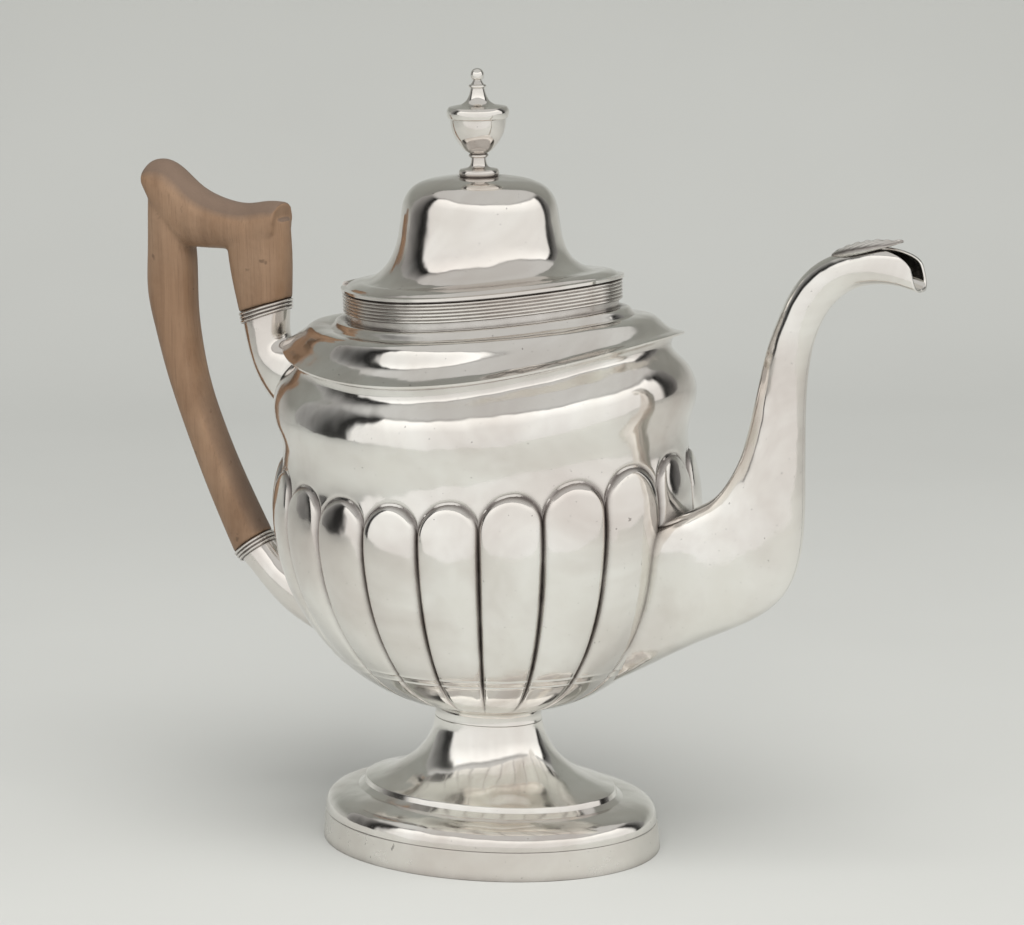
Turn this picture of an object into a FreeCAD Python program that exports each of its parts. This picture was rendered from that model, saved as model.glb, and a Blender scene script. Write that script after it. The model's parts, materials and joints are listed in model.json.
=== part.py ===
import FreeCAD, Part
import math
import os

# Oval silver coffee pot, millimetres.  The origin is the centre of the foot on the table.
# +X points to the spout, -X to the handle, +Z is up.  The pot is symmetric about the XZ plane.

# Sheet and clearances
SHEET = 1.0
HEAVY_SHEET = 1.2
FIT_GAP = 0.05
LID_GAP = 0.5

# Foot
FOOT_HALF_LENGTH = 65.7
FOOT_HALF_WIDTH = 51.5
FOOT_BAND_HEIGHT = 10.5
FOOT_NECK_TOP = 47.0
FOOT_JOINT_TOP = 53.0
FOOT_NECK_BORE = 17.5

# Body
BODY_RATIO = 0.80
LOBES = 20
POINTS_PER_LOBE = 8
RIM_LIFT = 14.5
SWEEP_CENTRE = -0.2
BODY_RIM = 72.4
BODY_RIM_HEIGHT = 176.8
SOLDER_GAP = 0.03

# Collar and lid seat
COLLAR_HALF_LENGTH = 54.0
COLLAR_NARROWER = 13.8
COLLAR_POINT = 0.2
COLLAR_TILT = 3.5
COLLAR_LIFT = 2.4
COLLAR_BOTTOM = 189.6
COLLAR_TOP = 205.9
LID_REST_GAP = 0.06
LID_SEAT = COLLAR_TOP + LID_REST_GAP
LID_RIM = 56.0
REED_COUNT = 6
REED_BAND_BOTTOM = 198.1
REED_BAND_TOP = 205.4
REED_DEPTH = 0.8
REED_OUTSIDE = COLLAR_HALF_LENGTH + 0.7 + REED_DEPTH
LID_TOP = 246.0
BEZEL_DEPTH = 4.0

# Finial
STUD_RADIUS = 2.0
STUD_BOTTOM = 240.0
NUT_RADIUS = 4.5
NUT_HEIGHT = 3.0
KNOB_RADIUS = 2.4
KNOB_HEIGHT = 282.2

# Hinge, let into the collar and the lid's rim at the handle end
HINGE_X = -54.3
HINGE_Z = 203.9
KNUCKLE_RADIUS = 1.7
KNUCKLE_LENGTH = 4.0
KNUCKLE_GAP = 0.15
HINGE_HALF = 1.5 * KNUCKLE_LENGTH + KNUCKLE_GAP
HINGE_PIN_RADIUS = 0.7
HINGE_PIN_CLEARANCE = 0.03
HINGE_PIN_HEAD = 1.1
HINGE_PIN_HEAD_HEIGHT = 0.4
NOTCH_HALF = HINGE_HALF + 0.6
NOTCH_DEPTH = KNUCKLE_RADIUS + 0.1
HINGE_LEAF_DROP = 5.2

# Strainer behind the spout
STRAINER_HOLE_RADIUS = 1.4
STRAINER_PITCH = 5.5
STRAINER_CENTRE = 104.0

# Handle fittings
HANDLE_PIN_RADIUS = 1.0
SOCKET_WALL = 1.2
FERRULE_REEDS = 3
FERRULE_HEIGHT = 4.2

# Spout mouth, cut back along a slope
MOUTH_X = 180.3
MOUTH_Z = 206.0
MOUTH_SLOPE = -33.0

ROUND_POINTS = 24
WOOD_FULLNESS = 2.4


def row(length, height, width=None, lift=0.0, tilt=0.0, lobe=0.0, spread=1.0, point=0.0):
    """One level of an oval surface: half length, height, half width and how it leaves the flat.

    A lobed level also gives the height of its lobes and how much of their width they fill.
    The last value draws the two ends of the oval to a point.
    """
    half_width = BODY_RATIO * length if width is None else width
    return (length, half_width, height, lift, tilt, (lobe, spread), point)


def inset(level, across, down=0.0):
    """The same level moved in by the wall and down."""
    length, half_width, height, lift, tilt, lobes, point = level
    return (length - across, half_width - across, height - down, lift, tilt, (0.0, 1.0), point)


def sweep(fraction):
    """The boat-shaped rise towards both ends, 1 at the spout."""
    return ((fraction - SWEEP_CENTRE) / (1.0 - SWEEP_CENTRE)) ** 2


def equal_arc_angles(ratio, count):
    """Angles that divide an ellipse of this width ratio into equal arcs, from the +X end."""
    steps = 3600
    lengths = [0.0]
    for i in range(steps):
        angle = 2.0 * math.pi * (i + 0.5) / steps
        lengths.append(lengths[-1] + math.hypot(math.sin(angle), ratio * math.cos(angle)))
    angles = []
    k = 0
    for j in range(count):
        target = lengths[-1] * j / count
        while lengths[k + 1] < target:
            k += 1
        part = (target - lengths[k]) / (lengths[k + 1] - lengths[k])
        angles.append(2.0 * math.pi * (k + part) / steps)
    return angles


LOBE_ANGLES = equal_arc_angles(BODY_RATIO, LOBES * POINTS_PER_LOBE)
PLAIN_ANGLES = [2.0 * math.pi * i / ROUND_POINTS for i in range(ROUND_POINTS)]


def lobe_height(index, spread):
    """Height of a lobe, 0 to 1, across its width; lobe centres fall on index 0, 8, 16 ..."""
    across = 2.0 * (index % POINTS_PER_LOBE) / POINTS_PER_LOBE
    if across > 1.0:
        across -= 2.0
    return math.sqrt(max(0.0, 1.0 - (0.98 * across / spread) ** 2))


def ring(level, angles):
    """Points of one level, round the pot."""
    length, half_width, height, lift, tilt, (lobe, spread), point = level
    points = []
    for index, angle in enumerate(angles):
        c = math.cos(angle)
        s = math.sin(angle)
        out = lobe * lobe_height(index, spread) if lobe else 0.0
        normal = math.hypot(half_width * c, length * s)
        x = length * c + out * half_width * c / normal
        y = half_width * s * (1.0 - point * c * c) + out * length * s / normal
        points.append(FreeCAD.Vector(x, y, height + lift * sweep(c) + tilt * c))
    return points


def closed_curve(points):
    """A smooth closed curve through evenly parametrised points."""
    curve = Part.BSplineCurve()
    knots = [i / len(points) for i in range(len(points) + 1)]
    curve.interpolate(Points=points, PeriodicFlag=True, Parameters=knots)
    return curve


def closed_wire(points):
    """The same curve as a wire."""
    return Part.Wire([closed_curve(points).toShape()])


def skin(rings):
    """One smooth surface through closed rings of points, or a ruled one through just two."""
    curves = [closed_curve(points) for points in rings]
    along = [0.0]
    for before, after in zip(rings[:-1], rings[1:]):
        gap = sum(p.distanceToPoint(q) for p, q in zip(before, after)) / len(before)
        along.append(along[-1] + gap)
    along = [distance / along[-1] for distance in along]
    columns = []
    for k in range(1, curves[0].NbPoles + 1):
        poles = [curve.getPole(k) for curve in curves]
        column = Part.BSplineCurve()
        if len(poles) == 2:
            column.buildFromPolesMultsKnots(poles, [2, 2], [0.0, 1.0], False, 1)
        else:
            column.interpolate(Points=poles, Parameters=along)
        columns.append(column)
    surface = Part.BSplineSurface()
    surface.buildFromPolesMultsKnots([column.getPoles() for column in columns],
                                     curves[0].getMultiplicities(), columns[0].getMultiplicities(),
                                     curves[0].getKnots(), columns[0].getKnots(),
                                     True, False, 3, columns[0].Degree)
    return surface.toShape()


def closed_solid(faces):
    """A solid from the faces that enclose it."""
    shell = Part.makeShell(faces)
    shell.sewShape(0.001)
    solid = Part.makeSolid(shell)
    if solid.Volume < 0.0:
        solid.reverse()
    return solid


def skin_solid(bands, angles=PLAIN_ANGLES, caps=()):
    """A solid whose skin is one smooth surface per band of levels, plus flat caps."""
    faces = [skin([ring(level, angles) for level in band]) for band in bands]
    faces += [Part.Face(closed_wire(ring(level, angles))) for level in caps]
    return closed_solid(faces)


def save(name, shape):
    """Write one named piece."""
    print(name, shape.isValid(), shape.ShapeType, round(shape.Volume, 1))
    shape.exportStep("parts/" + name + ".step")


def biggest(shape):
    """The main solid of a trimmed shape."""
    return max(shape.Solids, key=lambda solid: solid.Volume)


def turned(outline):
    """A round piece turned about Z from (radius, height) corners or (radius, height, 'arc') middles."""
    edges = []
    start = None
    middle = None
    for corner in outline + outline[:1]:
        point = FreeCAD.Vector(corner[0], 0.0, corner[1])
        if len(corner) == 3:
            middle = point
            continue
        if start is not None and middle is not None:
            edges.append(Part.Arc(start, middle, point).toShape())
        elif start is not None:
            edges.append(Part.makeLine(start, point))
        start = point
        middle = None
    face = Part.Face(Part.Wire(edges))
    return face.revolve(FreeCAD.Vector(0, 0, 0), FreeCAD.Vector(0, 0, 1), 360)


def foot_band():
    """The upright satin band the pot stands on."""
    bottom = row(FOOT_HALF_LENGTH, 0.0, FOOT_HALF_WIDTH)
    top = row(FOOT_HALF_LENGTH - 0.9, FOOT_BAND_HEIGHT, FOOT_HALF_WIDTH - 0.9)
    inner_top = inset(top, HEAVY_SHEET)
    inner_bottom = inset(bottom, HEAVY_SHEET)
    sides = [[bottom, top], [top, inner_top], [inner_top, inner_bottom]]
    faces = [skin([ring(level, PLAIN_ANGLES) for level in band]) for band in sides]
    outline = Part.Face(closed_wire(ring(bottom, PLAIN_ANGLES)))
    opening = Part.Face(closed_wire(ring(inner_bottom, PLAIN_ANGLES)))
    return closed_solid(faces + outline.cut(opening).Faces)


def foot_dome():
    """The raised foot: a rolled shoulder, a stepped ring and a trumpet rising to the neck."""
    edge = row(FOOT_HALF_LENGTH - 0.9, FOOT_BAND_HEIGHT, FOOT_HALF_WIDTH - 0.9)
    shoulder = [
        edge,
        row(64.2, 12.6, 50.0),
        row(61.6, 14.9, 47.2),
        row(57.0, 16.9, 42.6),
        row(52.6, 17.8, 38.0),
        row(50.2, 18.2, 35.4),
    ]
    step = [shoulder[-1], row(49.4, 20.2, 34.7)]
    trumpet = [
        step[-1],
        row(45.6, 21.6, 32.4),
        row(39.0, 24.2, 28.2),
        row(31.4, 29.4, 22.8),
        row(25.2, 36.4, 18.6),
        row(21.8, 43.0, 16.4),
        row(21.0, FOOT_NECK_TOP, 15.9),
    ]
    throat = [
        inset(trumpet[-1], SHEET),
        inset(trumpet[5], SHEET, 0.2),
        inset(trumpet[4], 0.9, 0.6),
        inset(trumpet[3], 0.7, 0.9),
        inset(trumpet[2], 0.5, 1.0),
        inset(trumpet[1], 0.4, 1.1),
        inset(trumpet[0], 0.3, 1.3),
    ]
    under = [
        throat[-1],
        inset(shoulder[4], 0.1, 1.1),
        inset(shoulder[3], 0.3, 1.1),
        inset(shoulder[2], 0.7, 1.1),
        inset(shoulder[1], 1.1, 0.8),
        inset(edge, HEAVY_SHEET),
    ]
    top_rim = [trumpet[-1], throat[0]]
    return skin_solid([shoulder, step, trumpet, top_rim, throat, under, [under[-1], edge]])


def foot_joint_ring():
    """The cast ring soldered between the foot and the bowl."""
    outer = [
        row(21.0, FOOT_NECK_TOP, 15.9),
        row(20.7, 49.0, 15.8),
        row(21.3, 51.2, 16.5),
        row(22.8, FOOT_JOINT_TOP, 18.2),
    ]
    bore_top = row(FOOT_NECK_BORE, FOOT_JOINT_TOP, 12.6)
    bore_bottom = row(FOOT_NECK_BORE, FOOT_NECK_TOP, 12.6)
    return skin_solid([outer, [outer[-1], bore_top], [bore_top, bore_bottom], [bore_bottom, outer[0]]])


def body_levels():
    """Levels of the body outside, from the foot to the rim, with the height of its lobes."""
    return [
        row(22.8, FOOT_JOINT_TOP, 18.2),
        row(31.6, 54.9, lobe=0.5),
        row(40.6, 58.6, lobe=1.0),
        row(49.6, 64.2, lobe=1.6, lift=0.3),
        row(57.8, 71.4, lobe=2.2, lift=1.0),
        row(65.2, 80.2, lobe=2.7, lift=2.0),
        row(71.4, 90.2, lobe=3.1, lift=3.6),
        row(76.0, 101.0, lobe=3.5, lift=5.8),
        row(78.8, 111.6, lobe=3.8, lift=8.4),
        row(79.9, 121.0, lobe=3.9, lift=11.0),
        row(79.6, 126.4, lobe=3.8, lift=12.6),
        row(79.0, 130.4, lobe=3.4, lift=13.4, spread=0.94),
        row(78.4, 133.4, lobe=2.5, lift=14.0, spread=0.76),
        row(77.9, 135.6, lobe=1.2, lift=14.4, spread=0.45),
        row(77.6, 138.2, lift=RIM_LIFT),
        row(77.5, 143.0, lift=RIM_LIFT),
        row(78.6, 148.4, lift=RIM_LIFT),
        row(80.3, 153.6, lift=RIM_LIFT),
        row(80.7, 158.4, lift=RIM_LIFT),
        row(79.4, 163.6, lift=RIM_LIFT),
        row(76.2, 168.2, lift=RIM_LIFT),
        row(72.8, 171.4, lift=RIM_LIFT),
        row(71.4, 174.0, lift=RIM_LIFT),
        row(BODY_RIM, BODY_RIM_HEIGHT, lift=RIM_LIFT),
    ]


def wall_inside(levels, wall):
    """The inner levels of a sheet: each one moved along the profile's normal."""
    inner = []
    for before, level, after in zip(levels[:-2], levels[1:-1], levels[2:]):
        run = after[0] - before[0]
        climb = after[2] - before[2]
        slope = math.hypot(run, climb)
        length, half_width, height, lift, tilt, lobes, point = level
        across = wall * climb / slope
        up = wall * run / slope
        inner.append((length - across, half_width - across, height + up, lift, tilt, lobes, point))
    return inner


def body():
    """The raised body: lobed bowl, waist and bulge in one piece, closed at the bottom."""
    outside = body_levels()
    floor = inset(outside[0], 0.5, -SHEET)
    lip = inset(outside[-1], SHEET)
    inside = [floor] + wall_inside(outside, SHEET) + [lip]
    solid = skin_solid([outside, [outside[-1], lip], inside], LOBE_ANGLES, [outside[0], floor])
    holes = []
    for level in (-1, 0, 1):
        across = 3 + (level == 0)
        for k in range(across):
            y = STRAINER_PITCH * (k - 0.5 * (across - 1))
            spot = FreeCAD.Vector(60.0, y, STRAINER_CENTRE + STRAINER_PITCH * level)
            holes.append(Part.makeCylinder(STRAINER_HOLE_RADIUS, 30.0, spot, FreeCAD.Vector(1, 0, 0)))
    return biggest(solid.cut(Part.makeCompound(holes)))


def body_block():
    """The body as a cup with a very thick wall, for trimming what is soldered to it."""
    outside = body_levels()
    mouth = row(24.0, BODY_RIM_HEIGHT - 2.0, lift=RIM_LIFT)
    well = row(14.0, FOOT_JOINT_TOP + 12.0)
    bands = [outside, [outside[-1], mouth], [mouth, well]]
    return skin_solid(bands, LOBE_ANGLES, [outside[0], well])


def shoulder_levels():
    """Outside of the shoulder, from its overhanging edge up to the collar."""
    return [
        row(76.7, 178.5, lift=RIM_LIFT),
        row(75.8, 181.2, 60.5, 13.0, -0.4),
        row(73.0, 185.0, 57.9, 10.4, 0.0, point=0.02),
        row(68.6, 188.2, 54.1, 7.8, 1.1, point=0.06),
        row(63.6, 190.4, 49.8, 5.4, 2.3, point=0.11),
        row(59.8, 191.8, 46.2, 3.8, 3.0, point=0.15),
    ]


def shoulder():
    """The shoulder soldered on the body rim, with its sharp edge and the small moulding on top."""
    outside = shoulder_levels()
    edge = row(76.3, 177.7, lift=RIM_LIFT)
    seat_height = BODY_RIM_HEIGHT + SOLDER_GAP
    under = [edge, row(BODY_RIM, seat_height, lift=RIM_LIFT)]
    seat = [under[-1], row(BODY_RIM - SHEET, seat_height, lift=RIM_LIFT)]
    moulding = [
        outside[-1],
        collar_level(59.4, 193.6),
        collar_level(58.1, 195.1),
        collar_level(56.6, 195.6),
    ]
    top = [moulding[-1], collar_level(COLLAR_HALF_LENGTH, 195.6)]
    hole = [top[-1], collar_level(COLLAR_HALF_LENGTH, 193.4)]
    roof = [hole[-1], collar_level(57.4, 192.2), inset(outside[4], 0.3, SHEET)]
    inside = [
        roof[-1],
        inset(outside[3], 0.5, SHEET),
        inset(outside[2], 0.8, SHEET),
        inset(outside[1], 1.8, 0.9),
        seat[-1],
    ]
    return skin_solid([[edge, outside[0]], outside, moulding, top, hole, roof, inside, seat, under])


def shoulder_block():
    """The shoulder as a filled wedge, for trimming the upper socket."""
    outside = shoulder_levels()
    edge = row(76.3, 177.7, lift=RIM_LIFT)
    under = row(BODY_RIM, BODY_RIM_HEIGHT, lift=RIM_LIFT)
    deep = row(40.0, BODY_RIM_HEIGHT, lift=RIM_LIFT)
    return skin_solid([[edge, outside[0]], outside, [outside[-1], deep], [deep, under], [under, edge]])


def collar_level(length, height):
    """A level that follows the collar's tilt and its pointed oval."""
    return row(length, height, length - COLLAR_NARROWER, COLLAR_LIFT, COLLAR_TILT, point=COLLAR_POINT)


def tube(outer, wall, bottom, top):
    """An upright oval tube that follows the collar's tilt."""
    a = collar_level(outer, bottom)
    b = collar_level(outer, top)
    c = inset(b, wall)
    d = inset(a, wall)
    return skin_solid([[a, b], [b, c], [c, d], [d, a]])


def plate(x_low, x_high, half_width, z_low, z_high):
    """A plain block centred on the mid plane."""
    corner = FreeCAD.Vector(x_low, -half_width, z_low)
    return Part.makeBox(x_high - x_low, 2.0 * half_width, z_high - z_low, corner)


def hinge_notch(depth):
    """The space let into a piece round the hinge, reaching down from above the hinge line."""
    inner = HINGE_X + KNUCKLE_RADIUS + 0.05
    return plate(HINGE_X - 8.0, inner, NOTCH_HALF, HINGE_Z - depth, HINGE_Z + 8.0)


def neck_collar():
    """The upright collar the lid sits on, notched for the hinge."""
    collar = tube(COLLAR_HALF_LENGTH, SHEET, COLLAR_BOTTOM, COLLAR_TOP)
    return biggest(collar.cut(hinge_notch(NOTCH_DEPTH)))


def reeded_band():
    """The applied band of fine reeds round the collar."""
    pitch = (REED_BAND_TOP - REED_BAND_BOTTOM) / REED_COUNT
    valley = COLLAR_HALF_LENGTH + 0.7
    outline = [collar_level(valley, REED_BAND_BOTTOM)]
    for i in range(REED_COUNT):
        for part, out in ((0.2, 0.75), (0.5, 1.0), (0.8, 0.75), (1.0, 0.0)):
            height = REED_BAND_BOTTOM + pitch * (i + part)
            outline.append(collar_level(valley + out * REED_DEPTH, height))
    top = collar_level(COLLAR_HALF_LENGTH, REED_BAND_TOP)
    bottom = collar_level(COLLAR_HALF_LENGTH, REED_BAND_BOTTOM)
    outline += [top, bottom, outline[0]]
    band = skin_solid(list(zip(outline[:-1], outline[1:])))
    return biggest(band.cut(hinge_notch(3.0 * HINGE_LEAF_DROP)))


def lid_shell():
    """The lid: a flat rim, a cove sweeping up and a tall dome, pierced for the finial stud."""
    rim_top = collar_level(LID_RIM, LID_SEAT + 1.0)
    seat = collar_level(LID_RIM, LID_SEAT)
    seat_inner = collar_level(50.8, LID_SEAT)
    cove = [
        rim_top,
        row(51.6, 207.6, 38.6, 2.2, 3.2, point=0.18),
        row(45.0, 209.1, 34.4, 1.6, 2.6, point=0.13),
        row(39.2, 211.6, 31.0, 1.0, 1.8, point=0.07),
        row(35.4, 214.8, 28.6, 0.5, 1.0, point=0.02),
        row(32.6, 219.4, 26.8, 0.1, 0.4),
        row(30.8, 225.2, 25.5),
        row(29.8, 231.0, 24.8),
        row(28.8, 236.4, 24.1),
        row(26.4, 240.8, 22.0),
        row(22.0, 243.8, 18.2),
        row(15.6, 245.4, 12.8),
        row(8.0, LID_TOP, 8.0),
    ]
    hole_top = row(STUD_RADIUS, LID_TOP, STUD_RADIUS)
    hole_bottom = row(STUD_RADIUS, LID_TOP - SHEET, STUD_RADIUS)
    inside = [seat_inner] + wall_inside(cove[1:], SHEET) + [row(7.6, LID_TOP - SHEET, 7.6)]
    shell = skin_solid([
        [seat, rim_top],
        cove,
        [cove[-1], hole_top],
        [hole_top, hole_bottom],
        [hole_bottom, inside[-1]],
        inside,
        [seat_inner, seat],
    ])
    return biggest(shell.cut(hinge_notch(NOTCH_DEPTH)))


def lid_bezel():
    """The ring under the lid that drops inside the collar."""
    return tube(COLLAR_HALF_LENGTH - SHEET - LID_GAP, SHEET, COLLAR_TOP - BEZEL_DEPTH, COLLAR_TOP)


def finial():
    """The turned urn finial with its stud."""
    return turned([
        (0.0, STUD_BOTTOM),
        (STUD_RADIUS, STUD_BOTTOM),
        (STUD_RADIUS, LID_TOP),
        (6.6, LID_TOP),
        (7.2, 247.3, "arc"),
        (6.6, 248.6),
        (4.2, 249.0),
        (2.9, 250.6, "arc"),
        (2.6, 252.8),
        (3.6, 253.4, "arc"),
        (2.8, 254.0),
        (7.8, 258.6, "arc"),
        (10.1, 266.6),
        (10.8, 267.0),
        (11.1, 269.0, "arc"),
        (10.4, 270.8),
        (6.2, 271.6),
        (3.6, 273.6, "arc"),
        (2.4, 277.6),
        (3.2, 278.2, "arc"),
        (2.4, 278.8),
        (math.sqrt(KNOB_RADIUS ** 2 - 1.9 ** 2), KNOB_HEIGHT - 1.9),
        (KNOB_RADIUS, KNOB_HEIGHT, "arc"),
        (0.0, KNOB_HEIGHT + KNOB_RADIUS),
    ])


def finial_nut():
    """The round nut that clamps the finial from under the lid."""
    top = LID_TOP - SHEET
    return turned([(STUD_RADIUS, top - NUT_HEIGHT), (NUT_RADIUS, top - NUT_HEIGHT),
                   (NUT_RADIUS, top), (STUD_RADIUS, top)])


def knuckle(centre, length):
    """One hinge knuckle, bored for the pin, centred on a place along the hinge line."""
    base = FreeCAD.Vector(HINGE_X, centre - 0.5 * length, HINGE_Z)
    barrel = Part.makeCylinder(KNUCKLE_RADIUS, length, base, FreeCAD.Vector(0, 1, 0))
    return barrel


def hinge_bore():
    """The clearance hole through all the knuckles."""
    base = FreeCAD.Vector(HINGE_X, -2.0 * KNUCKLE_LENGTH, HINGE_Z)
    return Part.makeCylinder(HINGE_PIN_RADIUS + HINGE_PIN_CLEARANCE, 4.0 * KNUCKLE_LENGTH,
                             base, FreeCAD.Vector(0, 1, 0))


def collar_block(length, bottom, top):
    """A filled oval block that follows the collar's tilt, for trimming."""
    a = collar_level(length, bottom)
    b = collar_level(length, top)
    tiny_a = inset(a, 30.0)
    tiny_b = inset(b, 30.0)
    return skin_solid([[a, b], [b, tiny_b], [tiny_b, tiny_a], [tiny_a, a]])


def hinge_on_collar():
    """The two outer knuckles and the leaf that is soldered to the collar."""
    offset = KNUCKLE_LENGTH + KNUCKLE_GAP
    leaf = plate(HINGE_X - 1.3, HINGE_X + 3.0, HINGE_HALF, HINGE_Z - HINGE_LEAF_DROP, HINGE_Z - 1.0)
    leaf = leaf.cut(collar_block(COLLAR_HALF_LENGTH, HINGE_Z - 12.0, HINGE_Z + 12.0))
    gap = plate(HINGE_X - 3.0, HINGE_X + 3.0, 0.5 * KNUCKLE_LENGTH + KNUCKLE_GAP,
                HINGE_Z - NOTCH_DEPTH, HINGE_Z + 3.0)
    solid = leaf.fuse([knuckle(-offset, KNUCKLE_LENGTH), knuckle(offset, KNUCKLE_LENGTH)])
    return biggest(solid.cut([gap, hinge_bore()]))


def hinge_on_lid(lid):
    """The middle knuckle and the strap that is soldered in the notch of the lid's rim."""
    strap = plate(HINGE_X, HINGE_X + 5.0, 0.5 * KNUCKLE_LENGTH, HINGE_Z + 0.1, HINGE_Z + 1.5)
    return biggest(strap.fuse(knuckle(0.0, KNUCKLE_LENGTH)).cut([hinge_bore(), lid]))


def hinge_pin():
    """The pin, peened to a small head at each end."""
    axis = FreeCAD.Vector(0, 1, 0)
    reach = HINGE_HALF + HINGE_PIN_HEAD_HEIGHT
    shaft = Part.makeCylinder(HINGE_PIN_RADIUS, 2.0 * reach, FreeCAD.Vector(HINGE_X, -reach, HINGE_Z), axis)
    heads = [Part.makeCylinder(HINGE_PIN_HEAD, HINGE_PIN_HEAD_HEIGHT, FreeCAD.Vector(HINGE_X, y, HINGE_Z), axis)
             for y in (-reach, HINGE_HALF)]
    return biggest(shaft.fuse(heads))


def cross_section(outer, inner, half_width, fullness=2.0):
    """Points of a closed rounded section between two points of the mid plane."""
    mid_x = 0.5 * (outer[0] + inner[0])
    mid_z = 0.5 * (outer[1] + inner[1])
    arm_x = 0.5 * (outer[0] - inner[0])
    arm_z = 0.5 * (outer[1] - inner[1])
    points = []
    for angle in PLAIN_ANGLES:
        c = math.cos(angle)
        s = math.sin(angle)
        along = math.copysign(abs(c) ** (2.0 / fullness), c)
        across = math.copysign(abs(s) ** (2.0 / fullness), s)
        points.append(FreeCAD.Vector(mid_x + arm_x * along, half_width * across, mid_z + arm_z * along))
    return points


def limb(stations, fullness=2.0, shrink=0.0, smooth=True):
    """A solid swept through (outer point, inner point, half width) stations, or a slimmer one inside it."""
    sections = []
    for outer, inner, half_width in stations:
        span = math.hypot(outer[0] - inner[0], outer[1] - inner[1])
        part = shrink / span
        near = [o + (i - o) * part for o, i in zip(outer, inner)]
        far = [i + (o - i) * part for o, i in zip(outer, inner)]
        sections.append(cross_section(near, far, half_width - shrink, fullness))
    ends = [Part.Face(closed_wire(sections[0])), Part.Face(closed_wire(sections[-1]))]
    runs = [sections] if smooth else list(zip(sections[:-1], sections[1:]))
    return closed_solid([skin(run) for run in runs] + ends)


SPOUT = [
    ((50.0, 64.5), (76.0, 127.0), 14.5),
    ((66.0, 72.8), (82.0, 130.0), 16.0),
    ((84.0, 82.5), (91.0, 134.6), 16.2),
    ((101.0, 90.6), (98.2, 139.5), 14.4),
    ((114.0, 97.8), (103.4, 147.0), 12.4),
    ((122.8, 106.5), (106.8, 155.0), 10.8),
    ((127.6, 118.0), (109.4, 163.5), 9.6),
    ((129.4, 133.0), (111.2, 171.0), 8.6),
    ((129.7, 150.0), (113.0, 178.5), 7.9),
    ((129.9, 167.0), (114.8, 186.0), 7.3),
    ((131.0, 183.5), (117.2, 194.0), 6.9),
    ((134.2, 197.0), (120.8, 202.8), 6.5),
    ((139.6, 206.8), (126.8, 212.8), 6.2),
    ((147.5, 213.6), (136.6, 221.6), 5.9),
    ((158.2, 216.6), (150.5, 226.0), 5.7),
    ((167.4, 216.4), (162.4, 227.2), 5.6),
    ((174.2, 215.0), (170.8, 226.2), 5.5),
    ((181.0, 212.6), (178.6, 223.4), 5.4),
]


def spout_tube(block):
    """The whole swan-neck spout as a thin tube, open at the lip and trimmed to the lobed bowl."""
    tube_solid = limb(SPOUT).cut(limb(SPOUT, shrink=SHEET))
    mouth = Part.makeBox(40.0, 30.0, 40.0, FreeCAD.Vector(0, -15, 0))
    mouth.rotate(FreeCAD.Vector(0, 0, 0), FreeCAD.Vector(0, 1, 0), MOUTH_SLOPE)
    mouth.translate(FreeCAD.Vector(MOUTH_X, 0, MOUTH_Z))
    return tube_solid.cut(mouth).cut(block)


def spout_half(tube_solid, side):
    """One half of the spout, cut on the mid plane where the two stampings are seamed."""
    low = 0.0 if side > 0 else -40.0
    return biggest(tube_solid.common(Part.makeBox(200.0, 40.0, 300.0, FreeCAD.Vector(0, low, 0))))


def spout_leaf():
    """The applied ribbed leaf lying on top of the lip, its tip turned up."""
    wires = []
    for x, z, half_width, rise, thickness in LEAF:
        ribs = 9
        top = []
        low = []
        for i in range(ribs):
            t = -1.0 + 2.0 * i / (ribs - 1)
            crown = rise * (1.0 - t * t)
            top.append(FreeCAD.Vector(x, half_width * t, z + crown))
            low.append(FreeCAD.Vector(x, half_width * t, z + crown - thickness))
        edges = []
        for line in (top, list(reversed(low))):
            curve = Part.BSplineCurve()
            curve.interpolate(line)
            edges.append(curve.toShape())
        edges.insert(1, Part.makeLine(top[-1], low[-1]))
        edges.append(Part.makeLine(low[0], top[0]))
        wires.append(Part.Wire(edges))
    return biggest(Part.makeLoft(wires, True, False).cut(limb(SPOUT)))


LEAF = [
    (143.2, 225.0, 1.6, 0.6, 3.0),
    (148.4, 226.2, 4.2, 1.4, 3.0),
    (154.0, 227.8, 4.9, 1.8, 3.4),
    (160.0, 228.8, 4.3, 1.9, 3.4),
    (165.4, 228.6, 1.7, 1.2, 1.6),
]

UPPER_SOCKET = [
    ((-105.0, 190.2), (-84.7, 196.4), 7.6),
    ((-102.9, 182.0), (-85.6, 188.5), 8.0),
    ((-99.4, 171.0), (-85.2, 182.0), 8.6),
    ((-93.4, 160.4), (-79.5, 181.4), 9.8),
    ((-83.5, 152.4), (-68.0, 181.6), 11.2),
    ((-68.0, 148.0), (-55.0, 180.5), 12.2),
]
LOWER_SOCKET = [
    ((-110.2, 97.3), (-97.0, 107.0), 7.2),
    ((-106.2, 94.4), (-93.4, 103.4), 7.4),
    ((-99.0, 87.6), (-87.4, 98.0), 7.8),
    ((-88.6, 78.6), (-78.4, 94.0), 8.6),
    ((-74.5, 71.4), (-67.5, 90.5), 9.6),
    ((-58.0, 66.0), (-54.0, 86.5), 10.4),
]
GRIP = [
    ((-145.4, 236.0), (-133.0, 231.0), 7.4),
    ((-146.0, 226.0), (-130.4, 221.5), 7.8),
    ((-146.9, 211.0), (-128.0, 211.0), 7.8),
    ((-147.3, 195.5), (-127.9, 195.5), 7.8),
    ((-144.6, 183.5), (-127.6, 184.5), 7.8),
    ((-140.2, 168.0), (-124.8, 167.0), 7.6),
    ((-132.6, 147.0), (-118.2, 147.5), 7.4),
    ((-121.2, 120.0), (-108.6, 127.5), 7.3),
    ((-110.2, 97.3), (-97.0, 107.0), 7.2),
]
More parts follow.
